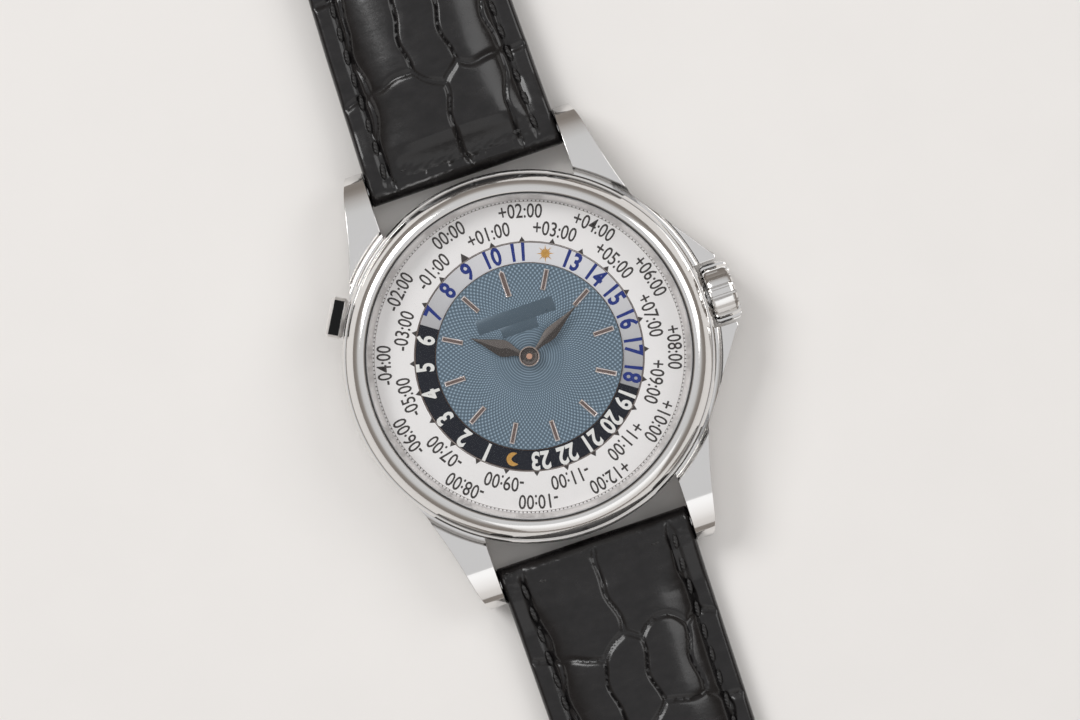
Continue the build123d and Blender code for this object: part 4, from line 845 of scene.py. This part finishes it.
class WATCH_OT_back(bpy.types.Operator):
    """Finishes the case back and the movement behind its window."""

    bl_idname = "watch.back"
    bl_label = "Case back and movement"

    def execute(self, context):
        dress(circled_metal("Turned back", context.scene.watch_case.steel_colour, (0, 0), 0.14),
              "back_ring")
        dress(pearled_plate(), "mainplate")
        dress(striped_bridge(), "barrel_bridge", "train_bridge", "balance_cock")
        ruby = Nodes("Ruby", (0.42, 0.012, 0.06), 0.0, 0.08)
        ruby.set("Coat Weight", 0.6)
        ruby.drive("Base Color", ruby.ramp(
            ruby.noise(0.4), [(0.3, (0.36, 0.01, 0.05)), (0.7, (0.55, 0.02, 0.09))]))
        dress(ruby.material, "bearing_jewels")
        blued = Nodes("Blued steel", (0.012, 0.04, 0.23), 1.0, 0.18)
        dress(blued.uneven(blued.noise(0.3), 0.12, 0.26), "bridge_screws", "hairspring")
        dress(grained_steel(), "ring_guide", "crown_tube", "corrector_spring", "city_jumper",
              "lug_spring_bars", "escape_wheel", "pallet_fork", "winding_pinion",
              "winding_stem", "sliding_pinion", "corrector_lever")
        brass, gilded = ((0.72, 0.50, 0.22), 0.22), ((0.80, 0.66, 0.40), 0.18)
        for node, name, (colour, roughness) in (
            ("centre_wheel", "Brass of minute arbor", brass),
            ("hour_wheel", "Brass of hour arbor", brass),
            ("minute_wheel", "Brass of minute wheel arbor", brass),
            ("ring_idler", "Brass of idler", brass),
            ("barrel", "Brass of mainspring barrel", brass),
            ("third_wheel", "Brass of third arbor", brass),
            ("fourth_wheel", "Brass of fourth arbor", brass),
            ("balance_wheel", "Brass of balance", brass),
            ("crown_wheel", "Snailed crown wheel", gilded),
            ("ratchet_wheel", "Snailed ratchet wheel", gilded),
        ):
            centre = [(low + high) / 2 / MM for low, high in zip(*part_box(node))]
            dress(circled_metal(name, colour, centre, roughness), node)
        dress(two_tone_rotor(), "winding_rotor")
        return {"FINISHED"}


class WATCH_OT_dial(bpy.types.Operator):
    """Finishes the dial, its plates, markers, rings and border lines."""

    bl_idname = "watch.dial"
    bl_label = "Dial and rings"

    def execute(self, context):
        settings = context.scene.watch_dial
        dress(engine_turned(tuple(settings.dial_colour)), "centre_dial")
        dress(satin_silver("Satin city disc", settings.city_colour), "city_disc")
        dress(day_and_night(settings.day_colour, tuple(settings.night_colour)), "hour_24_ring")
        # Painted reflection: the markers' flat tops are painted dark and their sloped facets
        # bright, by the way each face points.
        marker = Nodes("Marker facets", (0.9, 0.86, 0.84), 0.65, 0.16)
        flat = marker.math("GREATER_THAN", marker.parts(marker.normal)[2], 0.98)
        marker.drive("Base Color", marker.mix(flat, (0.95, 0.88, 0.86), (0.20, 0.15, 0.135)))
        dress(marker.uneven(marker.noise(0.3), 0.10, 0.24), "hour_markers")
        plates = joined("name_plates", [
            block(name, (wide, high, 0.05), (0, y, 6.31))
            for name, y, wide, high in (("plate_a", 4.25, 8.0, 1.45), ("plate_b", 3.0, 3.7, 1.05))
        ])
        bevelled(plates, 0.02, 2)
        smooth(plates)
        m = Nodes("Smooth plate", times(settings.dial_colour, 0.62), 0.3, 0.34)
        placed(plates, "case", m.uneven(m.noise(0.6), 0.24, 0.36), "dial_blue")
        line = printed_ink("Border line", (0.10, 0.055, 0.035), 0.4)
        ring, city = ("day_night_ring", "day_night", 6.062), ("city_ring", "city_silver", 6.060)
        for name, inner, outer, (body, slot, top) in (
            ("ring_line_inner", 9.245, 9.30, ring), ("ring_line_outer", 11.235, 11.285, ring),
            ("city_line_inner", 11.355, 11.40, city), ("city_line_outer", 15.30, 15.33, city),
        ):
            placed(turned(name, [(inner, RING_LEVEL), (outer, RING_LEVEL), (outer, top),
                                 (inner, top)]), body, line, slot)
        return {"FINISHED"}


def lettering(name, labels, height, squeeze, weight):
    """Printed labels bent round the dial. Each is (text, angle clockwise from 12, foot radius)."""
    capital = 0.62
    scale = height / MM / capital
    pieces = []
    for text, angle, radius in labels:
        deselect()
        bpy.ops.object.text_add()
        words = bpy.context.active_object.data
        words.body, words.align_x, words.size = text, "CENTER", 1.0
        words.resolution_u, words.offset, words.extrude = 3, weight, 0.012
        bpy.ops.object.convert(target="MESH")
        words = bpy.context.active_object
        spots = np.zeros(len(words.data.vertices) * 3)
        words.data.vertices.foreach_get("co", spots)
        spots = spots.reshape(-1, 3)
        across = spots[:, 0] * scale * squeeze
        out = radius + spots[:, 1] * scale
        turn = np.radians(90 - angle) - across / (radius + height / MM / 2)
        spots = np.stack([out * np.cos(turn), out * np.sin(turn),
                          PRINT_LEVEL + 0.008 + spots[:, 2] * 0.65], 1) * MM
        words.data.vertices.foreach_set("co", spots.ravel())
        words.data.update()
        pieces.append(words)
    printed = joined(name, pieces)
    outward(printed)
    return printed


def sun_outline(x, y):
    """A sun with eight long and eight short rays."""
    outline = []
    for point in range(32):
        reach = 0.38 if point % 2 else 0.88 if point % 4 == 0 else 0.54
        turn = 2 * math.pi * point / 32 + math.radians(NOON)
        outline.append((x + reach * math.cos(turn), y + reach * math.sin(turn)))
    return outline


def moon_outline(x, y):
    """A crescent moon: a round back and a hollow front, leaning on the ring."""
    lean = math.radians(90 - (NOON + 180) - 75)
    outline = []
    for step in range(19):
        turn = math.radians(-128 + 256 * step / 18)
        outline.append((0.68 * math.cos(turn), 0.68 * math.sin(turn)))
    (start_x, start_y), (end_x, end_y) = outline[-1], outline[0]
    for t in (step / 12 for step in range(1, 12)):
        outline.append((start_x + (end_x - start_x) * t + 0.62 * math.sin(math.pi * t),
                        start_y + (end_y - start_y) * t))
    cosine, sine = math.cos(lean), math.sin(lean)
    return [(x + a * cosine - b * sine, y + a * sine + b * cosine) for a, b in outline]


class WATCH_OT_print(bpy.types.Operator):
    """Prints the offsets, numerals, sun, moon, pointers and dots of the two rings."""

    bl_idname = "watch.print"
    bl_label = "Printing"

    def execute(self, context):
        settings = context.scene.watch_dial
        on_city, on_ring = ("city_ring", "city_silver"), ("day_night_ring", "day_night")
        ink = printed_ink("Dark ink", settings.ink_colour)
        offsets = []
        for step in range(24):
            hours = step + 1 if step < 12 else step - 23
            sign = "+" if hours > 0 else "-" if hours < 0 else ""
            offsets.append((f"{sign}{abs(hours):02d}:00", 15 * step, 13.72 if step % 2 else 12.05))
        city = [lettering("city_offsets", offsets, settings.letter_height, 0.78, 0.008)]
        small = flat_shape("small", [(11.40, -0.28), (11.40, 0.28), (11.86, 0.0)], 0, 0.016)
        large = flat_shape("large", [(11.40, -0.44), (11.40, 0.44), (12.2, 0.0)], 0, 0.016)
        city.append(joined("city_pointers", [
            set_down(large if step == 23 else small, 0, 0, PRINT_LEVEL, 90 - 15 * step)
            for step in range(24)
        ]))
        dot_ten_times = turned("dot", [(0.70, 0.0), (0.66, 0.12), (0.50, 0.18), (0.04, 0.20)], 8,
                               closed=False)
        city.append(joined("city_dots", [
            set_down(dot_ten_times, *clockwise(15.40, 1.5 * step), PRINT_LEVEL - 0.004, scale=0.1)
            for step in range(240)
        ]))
        for piece in city:
            placed(piece, on_city[0], ink, on_city[1])
        for piece in (small, large, dot_ten_times):
            bpy.data.objects.remove(piece)
        hours = [(str(hour), NOON + 15 * (hour - 12), 9.52) for hour in range(1, 24) if hour != 12]
        gold = gilt_print()
        for piece, material in (
            (lettering("day_numerals", hours[6:17], settings.numeral_height, 0.80, 0.030),
             printed_ink("Royal blue ink", (0.006, 0.024, 0.20))),
            (lettering("night_numerals", hours[:6] + hours[17:], settings.numeral_height, 0.80,
                       0.030), printed_ink("White ink", (0.80, 0.80, 0.78))),
            (flat_shape("sun", sun_outline(*clockwise(10.28, NOON)), PRINT_LEVEL, 0.018), gold),
            (flat_shape("moon", moon_outline(*clockwise(10.28, NOON + 180)), PRINT_LEVEL, 0.018),
             gold),
        ):
            placed(piece, on_ring[0], material, on_ring[1])
        return {"FINISHED"}


class WATCH_OT_hands(bpy.types.Operator):
    """Makes the two leaf hands, their hubs and the centre pin."""

    bl_idname = "watch.hands"
    bl_label = "Hands"

    def execute(self, context):
        steel = dark_polish("Dark hand polish", (0.17, 0.152, 0.142))
        leaf = curve_through([(0.0, 0.30), (0.10, 0.30), (0.22, 0.42), (0.36, 0.86), (0.46, 1.0),
                              (0.58, 0.80), (0.75, 0.42), (0.90, 0.16), (1.0, 0.03)], 6)
        blade, ridge_slope = 0.06, 0.17
        for name, node, body, length, width, angle, level, hub_height in (
            ("hour_leaf", "hour_hand", "hour_arbor", 6.08, 1.66, 305.5, 6.7, 0.2),
            ("minute_leaf", "minute_hand", "minute_arbor", 6.9, 1.24, 61.4, 7.12, 0.28),
        ):
            deselect()
            bpy.ops.mesh.primitive_grid_add(x_subdivisions=48, y_subdivisions=4, size=1)
            hand = taken(name)
            cosine, sine = clockwise(1, angle)
            for vertex in hand.data.vertices:
                share = vertex.co.x + 0.5
                half = at(leaf, share) * width / 2
                x, y = share * length, vertex.co.y * 2 * half
                ridge = ridge_slope * (half - abs(y))
                vertex.co = ((x * cosine - y * sine) * MM, (x * sine + y * cosine) * MM,
                             (level + blade + ridge) * MM)
            edit()
            bpy.ops.mesh.extrude_region()
            bpy.ops.transform.resize(value=(1, 1, 0), center_override=(0, 0, level * MM))
            finish_faces()
            top = level + hub_height
            hub = turned(name + "_hub", [
                (0.5, level), (0.96, level), (1.0, level + 0.04), (1.0, top - 0.05),
                (0.95, top), (0.86, top), (0.80, top - 0.05), (0.5, top - 0.06)], 96)
            whole = joined(name, [hand, hub])
            smooth(whole, 20)
            placed(whole, body, steel, "hand_steel", node)
        dress(steel, "cannon_pinion")
        rose = Nodes("Rose gold pin", (0.78, 0.46, 0.33), 1.0, 0.2)
        pin = turned("centre_pin", [(0.36, 7.30), (0.36, 7.46), (0.33, 7.51), (0.2, 7.54),
                                    (0.02, 7.55)], 64, closed=False)
        smooth(pin)
        placed(pin, "minute_arbor", rose.uneven(rose.noise(0.2), 0.14, 0.3), "hand_steel")
        return {"FINISHED"}


class WATCH_OT_crown(bpy.types.Operator):
    """Makes the fluted crown and the corrector's push piece."""

    bl_idname = "watch.crown"
    bl_label = "Crown and pusher"

    def execute(self, context):
        settings = context.scene.watch_case
        flutes = settings.crown_flutes
        count, flute_depth = 12 * flutes, 0.34
        rings = [(0.9, 0.75, 0.0), (2.2, 0.75, 0.0), (2.55, 0.12, 0.3), (2.9, 0.0, 1.0),
                 (2.98, 0.12, 1.0), (3.05, 0.35, 1.0), (3.05, 2.1, 1.0), (2.96, 2.40, 1.0),
                 (2.80, 2.57, 0.7), (2.62, 2.64, 0.0), (2.3, 2.66, 0.0), (1.2, 2.69, 0.0),
                 (0.05, 2.70, 0.0)]
        crown = turned("fluted_crown", [(r, x) for r, x, _ in rings], count, closed=False)
        for index, vertex in enumerate(crown.data.vertices):
            radius, _, share = rings[index // count]
            y, z, out = vertex.co
            turn = math.atan2(z, y) * flutes / (2 * math.pi)
            from_rib = abs((turn % 1.0) - 0.5) * 2
            hollow = min(1.0, max(0.0, (0.46 - from_rib) / 0.24))
            depth = flute_depth * share * (hollow * hollow * (3 - 2 * hollow))
            scale = (radius - depth) / radius
            vertex.co = (out + CROWN_FOOT * MM, y * scale, z * scale + CROWN_LEVEL * MM)
        outward(crown)
        smooth(crown, 35)
        placed(crown, "crown_and_stem", polished_steel("Polished crown", settings.steel_colour),
               "case_steel", "crown")
        # Painted reflection: the pusher's flat faces are painted near black, and its sides are
        # painted brighter than the steel.
        push = Nodes("Pusher faces", settings.steel_colour, 1.0, 0.08)
        upright = push.math("ABSOLUTE", push.parts(push.normal)[2])
        flat = push.math("GREATER_THAN", upright, 0.9)
        painted_bright_sides = times(settings.steel_colour, 1.15)
        push.drive("Base Color", push.mix(flat, painted_bright_sides, (0.02, 0.02, 0.02)))
        gloss = push.math("MULTIPLY_ADD", flat, -0.26, 0.34)
        push.drive("Roughness", push.math("MULTIPLY_ADD", push.noise(0.4), 0.06, gloss))
        spot = clockwise(19.45, 90 - PUSHER_TURN)
        button = block("push_button", (1.7, 4.15, 2.3), (*spot, PUSHER_LEVEL), PUSHER_TURN)
        bevelled(button, 0.34, 1)
        bevelled(button, 0.03, 2, 20)
        deselect()
        spot = clockwise(16.3, 90 - PUSHER_TURN)
        bpy.ops.mesh.primitive_cylinder_add(
            vertices=48, radius=0.45 * MM, depth=4.7 * MM,
            location=(spot[0] * MM, spot[1] * MM, PUSHER_LEVEL * MM),
            rotation=(0, math.pi / 2, math.radians(PUSHER_TURN)))
        shank = taken("push_shank")
        bevelled(shank, 0.08, 2)
        whole = joined("push_button", [button, shank])
        smooth(whole, 20)
        placed(whole, "push_piece", push.material, "case_steel", "pusher")
        return {"FINISHED"}


def underside(half, share):
    """The height of a strap half's underside at a share of its length."""
    lie = STRAP_LIE[half]
    return at([(0.0, BAR_Z - END_ROUND), (0.045, lie), (1.0, lie)], share)


def scale_seeds(rng, length):
    """The leather's scales as rows of (middle x, middle y, width, length)."""
    seeds = []
    y, row, spread = -2.0, 0, 0.9
    while y < length + 8:
        step = rng.uniform(8.2, 10.8)
        if y > 45:
            step *= 0.8
        cuts = (-6.9, -2.6, 2.4, 7.0) if row % 2 else (-7.2, -0.3, 7.1)
        edges = [-12.5, *[c + rng.uniform(-spread, spread) for c in cuts], 12.5]
        for low, high in zip(edges, edges[1:]):
            middle = y + step / 2 + rng.uniform(-spread, spread)
            seeds.append(((low + high) / 2, middle, high - low, step))
        y += step
        row += 1
    return np.array(seeds)


def scale_relief(x, y, seeds, groove):
    """How far scales, grooves and wrinkles raise the leather at places across it."""
    wave = y + 0.5 * np.sin(x * 0.45) + 0.2 * np.sin(x * 1.3 + y * 0.3)
    sideways = x + 0.35 * np.sin(y * 0.6) + 0.12 * np.sin(y * 1.5 + 1.0)
    lip = np.exp(-((y / 1.4) ** 2))
    wrinkle = np.sin(x * 5.1 + 2 * np.sin(y * 3.7)) * np.sin(y * 6.3 + np.sin(x * 2.9))
    dx = (sideways[:, None] - seeds[None, :, 0]) / (seeds[None, :, 2] * 0.5)
    dy = (wave[:, None] - seeds[None, :, 1]) / (seeds[None, :, 3] * 0.5)
    metric = np.sort((np.abs(dx) ** 3.5 + np.abs(dy) ** 3.5) ** (1 / 3.5), axis=1)
    gap = (metric[:, 1] - metric[:, 0]) * 3.6
    valley = np.exp(-((gap / 0.42) ** 2))
    pillow = np.clip(gap / 2.6, 0, 1) ** 0.6
    return 0.05 * lip * wrinkle - groove * (valley + 0.35 * (1 - pillow))


def strap_section(half, y, seeds, groove):
    """The closed outline of a strap half at a distance from its bar, as lists of x and z."""
    length = STRAP_LENGTH[half]
    share = max(0.0, y / length)
    wide = at(HALF_WIDTH, share)
    if half < 0 and y > length - TIP_ROUND:
        left = (length - y) / TIP_ROUND
        wide = min(wide, 8.0 * math.sqrt(max(0.0, 1 - (1 - left) ** 2.2)) + 0.02)
    low = underside(half, share)
    thick = LEATHER * (1 + at(PADDING, share))
    edge = at(EDGE_RISE, y)
    if share < 0.03:
        thick = min(thick, 2 * END_ROUND + share / 0.03 * (thick - 2 * END_ROUND))
    if y < 0:
        flat = math.sqrt(max(0.01, 1 - (y / END_ROUND) ** 2))
        low, thick, edge = BAR_Z - END_ROUND * flat, 2 * END_ROUND * flat, EDGE_RISE[0][1] * flat
    if half > 0 and y > length:
        flat = math.sqrt(max(0.01, 1 - ((y - length) / TAIL_ROUND) ** 2))
        low, thick = STRAP_LIE[half] + TAIL_ROUND * (1 - flat), LEATHER * flat
        edge = thick * 0.92
    x = np.linspace(-1, 1, TOP_CELLS + 1) * wide
    dome = np.clip(1 - np.clip(np.abs(x) / max(wide - 2.15, 0.1), 0, 1) ** 2.6, 0, 1) ** 0.75
    height = edge + (thick - edge) * dome
    if 0 <= y <= length:
        height = height - 0.16 * np.exp(-(((np.abs(x) - (wide - 2.0)) / 0.32) ** 2))
    rim = np.clip((wide - np.abs(x)) / 0.5, 0, 1)
    height = height - 0.35 * (1 - rim) ** 2 * min(1.0, edge)
    if y > -0.6:
        height = height + scale_relief(x, y, seeds, groove) * rim
    top = low + height
    down = np.arange(1, SIDE_CELLS + 1) / SIDE_CELLS
    bulge = 0.12 * np.sin(math.pi * down) * min(1.0, thick / 2)
    across = np.arange(1, LOW_CELLS + 1) / LOW_CELLS
    return (np.concatenate([x, wide + bulge, wide - 2 * wide * across, -wide - bulge]),
            np.concatenate([top, top[-1] + (low - top[-1]) * down, np.full(LOW_CELLS, low),
                            low + (top[0] - low) * down]))


def strap_half(name, half, groove, seed):
    """One padded half of the strap, folded from a grid into a closed tube of sections."""
    length = STRAP_LENGTH[half]
    seeds = scale_seeds(np.random.default_rng(seed), length)
    end, row_step = (length + 1.1, 0.20) if half > 0 else (length, 0.21)
    ys = [-END_ROUND * math.cos(t) for t in np.linspace(0, math.pi / 2, 8)][:-1]
    ys += list(np.linspace(0.0, end, int(end / row_step)))
    around = TOP_CELLS + 2 * SIDE_CELLS + LOW_CELLS
    deselect()
    bpy.ops.mesh.primitive_grid_add(x_subdivisions=around, y_subdivisions=len(ys) - 1, size=1)
    piece = taken(name)
    assert len(piece.data.vertices) == len(ys) * (around + 1), "the grid's layout changed"
    spots = np.zeros((len(ys), around + 1, 3))
    for index, y in enumerate(ys):
        spots[index, :, 0], spots[index, :, 2] = strap_section(half, y, seeds, groove)
        spots[index, :, 1] = half * (BAR_Y + y)
    piece.data.vertices.foreach_set("co", (spots * MM).ravel())
    piece.data.update()
    edit()
    bpy.ops.mesh.remove_doubles(threshold=1e-6)
    for y in (ys[0], ys[-1]):
        place = half * (BAR_Y + y) * MM
        pick(piece, "vertices", lambda vertex: abs(vertex.co.y - place) < 1e-6)
        bpy.ops.mesh.edge_face_add()
    finish_faces()
    return piece


def stitches(name, half, pitch, inset):
    """Rows of stitches along both edges of a strap half and across its padded end."""
    length = STRAP_LENGTH[half]
    deselect()
    bpy.ops.mesh.primitive_uv_sphere_add(segments=8, ring_count=6, radius=1)
    stitch = taken("stitch")
    shape = np.array([v.co for v in stitch.data.vertices]).T
    spots = []
    y = 1.4
    while y < length - (4.0 if half > 0 else 9.5):
        for side in (1, -1):
            spots.append((side * (at(HALF_WIDTH, y / length) - inset), y,
                          math.pi / 2 + side * 0.12))
        y += pitch
    reach = 8.6 - inset - 0.8
    spots += [(x, 0.9, 0.08) for x in np.linspace(-reach, reach, 6)]
    long_way, thin, high, sunk, arch = 0.90, 0.27, 0.22, 0.02, 0.10
    copies = []
    for x, y, turn in spots:
        copy = copied(stitch)
        z = underside(half, y / length) + at(EDGE_RISE, y) - sunk
        cosine, sine = math.cos(turn), math.sin(turn)
        px, py = shape[0] * long_way, shape[1] * thin
        where = np.stack([x + px * cosine - py * sine,
                          half * (BAR_Y + y + px * sine + py * cosine),
                          z + shape[2] * high - arch * shape[0] ** 2], 1) * MM
        copy.data.vertices.foreach_set("co", where.ravel())
        copy.data.update()
        copies.append(copy)
    bpy.data.objects.remove(stitch)
    whole = joined(name, copies)
    outward(whole)
    smooth(whole, 60)
    return whole


def strap_cutters(half):
    """The tongue's slot, or the nine holes."""
    if half > 0:
        return block("slot", (2.2, 6.8, 8), (0, 92.7, 3))
    holes = []
    for hole in range(9):
        deselect()
        bpy.ops.mesh.primitive_cylinder_add(
            vertices=24, radius=0.9 * MM, depth=8 * MM,
            location=(0, (24.0 + 6.5 * hole - BAR_Y - STRAP_LENGTH[half]) * MM, 2 * MM),
        )
        holes.append(taken("hole"))
    return joined("holes", holes)


def keeper(name, node):
    """A leather loop where the solid stands, with its long edges rounded."""
    low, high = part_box(node)
    middle = [(a + b) / 2 / MM for a, b in zip(low, high)]
    wide, deep, tall = ((b - a) / MM for a, b in zip(low, high))
    wall = 1.1
    loop = block(name, (wide, deep, tall), middle)
    edit("EDGE")
    spots = loop.data.vertices

    def runs_along(edge):
        near, far = (spots[end].co for end in edge.vertices)
        return abs(near.y - far.y) > deep / 2 * MM

    pick(loop, "edges", runs_along)
    bpy.ops.mesh.bevel(offset=1.5 * MM, segments=8, affect="EDGES")
    room = block("room", (wide - 2 * wall, 2 * deep, tall - 2 * wall), middle)
    bevelled(room, 0.7, 5)
    bevelled(loop, 0.40, 4, 50)
    cut(loop, room)
    outward(loop)
    smooth(loop, 40)
    return loop


class WATCH_OT_strap(bpy.types.Operator):
    """Makes both strap halves with their scales and stitches, and the two keepers."""

    bl_idname = "watch.strap"
    bl_label = "Strap"

    def execute(self, context):
        settings = context.scene.watch_strap
        leather = scaled_leather(tuple(settings.leather_colour))
        thread = waxed_thread()
        for name, half, body, node, seed in (
            ("strap_upper", 1, "strap_12", "strap_buckle_half", 4),
            ("strap_lower", -1, "strap_6", "strap_hole_half", 9),
        ):
            piece = strap_half(name, half, settings.groove_depth / MM, seed)
            cut(piece, strap_cutters(half))
            smooth(piece, 50)
            placed(piece, body, leather, "strap_leather", node)
            row = stitches(name + "_stitches", half, settings.stitch_pitch / MM,
                           settings.stitch_inset / MM)
            placed(row, body, thread, "strap_leather")
        for name, node, body in (("fixed_loop", "fixed_keeper", "strap_12"),
                                 ("free_loop", "free_keeper", "sliding_loop")):
            placed(keeper(name, node), body, leather, "strap_leather", node)
        return {"FINISHED"}


class WATCH_OT_buckle(bpy.types.Operator):
    """Finishes the pin buckle."""

    bl_idname = "watch.buckle"
    bl_label = "Buckle"

    def execute(self, context):
        steel = polished_steel("Polished buckle", context.scene.watch_case.steel_colour)
        for node, name, body, width in (
            ("buckle_frame", "buckle_bow", "buckle", 0.22),
            ("buckle_tongue", "buckle_pin", "tongue", 0.12),
        ):
            placed(softened(node, name, width), body, steel, "case_steel", node)
        dress(steel, "buckle_bar")
        return {"FINISHED"}


class WATCH_OT_stage(bpy.types.Operator):
    """Lays the floor and sets the lights and the camera."""

    bl_idname = "watch.stage"
    bl_label = "Stage"

    def execute(self, context):
        settings = context.scene.watch_stage
        deselect()
        bpy.ops.mesh.primitive_plane_add(size=4.0, location=(0, 0, -0.0004))
        floor = taken("floor")
        floor.data.materials.append(pale_floor(tuple(settings.floor_colour)))
        world = bpy.data.worlds.new("Studio")
        context.scene.world = world
        world.use_nodes = True
        tree = world.node_tree
        place, split, ramp = (tree.nodes.new("ShaderNode" + kind)
                              for kind in ("TexCoord", "SeparateXYZ", "ValToRGB"))
        fill_ramp(ramp.color_ramp, [
            (0.0, (0.34, 0.305, 0.275)), (1.0, (0.92, 0.92, 0.93)),
            (0.25, (0.33, 0.295, 0.265)), (0.45, (0.42, 0.385, 0.355)),
            (0.62, (0.70, 0.68, 0.665)), (0.80, (0.88, 0.88, 0.88)),
        ])
        background = tree.nodes["Background"].inputs
        tree.links.new(place.outputs["Generated"], split.inputs[0])
        tree.links.new(split.outputs[2], ramp.inputs[0])
        tree.links.new(ramp.outputs[0], background[0])
        background[1].default_value = 0.76
        for name, (x, y, z), size, power in (
            ("key", (-0.45, 0.55, 0.75), 0.45, 5.0),
            ("fill", (0.6, 0.1, 0.6), 0.45, 1.5),
            ("rim", (0.05, -0.7, 0.5), 0.80, 1.0),
        ):
            deselect()
            bpy.ops.object.light_add(type="AREA", location=(x, y, z))
            light = context.active_object
            light.name = name
            light.data.size = size
            light.data.energy = power
            light.rotation_mode = "XYZ"
            light.rotation_euler = (
                math.atan2(math.hypot(x, y), z), 0, math.atan2(y, x) + math.pi / 2,
            )
        deselect()
        bpy.ops.object.camera_add()
        camera = context.active_object
        camera.name = "camera"
        camera.data.lens = 100
        camera.data.sensor_width = 36
        camera.data.clip_start = 0.01
        camera.location = (0.88 * MM, -0.68 * MM, 6.3 * MM + settings.camera_height)
        camera.rotation_euler = (0, 0, -math.atan2(0.3206, 0.9472))
        context.scene.camera = camera
        context.scene.view_settings.view_transform = "Standard"
        return {"FINISHED"}


class WATCH_PT_panel(bpy.types.Panel):
    """Lists the watch's operators and settings."""

    bl_idname = "WATCH_PT_panel"
    bl_label = "World time watch"
    bl_space_type = "VIEW_3D"
    bl_region_type = "UI"
    bl_category = "Watch"

    def draw(self, context):
        for operator in OPERATORS:
            self.layout.operator(operator.bl_idname, text=operator.bl_label)
        for group in GROUPS:
            settings = getattr(context.scene, group)
            box = self.layout.box()
            for name in settings.__annotations__:
                box.prop(settings, name)


OPERATORS = (
    WATCH_OT_stage,
    WATCH_OT_case,
    WATCH_OT_bezel,
    WATCH_OT_back,
    WATCH_OT_dial,
    WATCH_OT_print,
    WATCH_OT_hands,
    WATCH_OT_crown,
    WATCH_OT_strap,
    WATCH_OT_buckle,
)
GROUPS = {
    "watch_case": WatchCaseSettings,
    "watch_dial": WatchDialSettings,
    "watch_strap": WatchStrapSettings,
    "watch_stage": WatchStageSettings,
}


def register():
    """Registers the settings, the operators and the panel."""
    for name, group in GROUPS.items():
        bpy.utils.register_class(group)
        setattr(bpy.types.Scene, name, bpy.props.PointerProperty(type=group))
    for operator in OPERATORS:
        bpy.utils.register_class(operator)
    bpy.utils.register_class(WATCH_PT_panel)


def unregister():
    """Removes the settings, the operators and the panel."""
    bpy.utils.unregister_class(WATCH_PT_panel)
    for operator in reversed(OPERATORS):
        bpy.utils.unregister_class(operator)
    for name, group in GROUPS.items():
        delattr(bpy.types.Scene, name)
        bpy.utils.unregister_class(group)


def main():
    """Registers the add-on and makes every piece."""
    register()
    for operator in OPERATORS:
        space, name = operator.bl_idname.split(".")
        getattr(getattr(bpy.ops, space), name)()


if __name__ == "__main__":
    main()
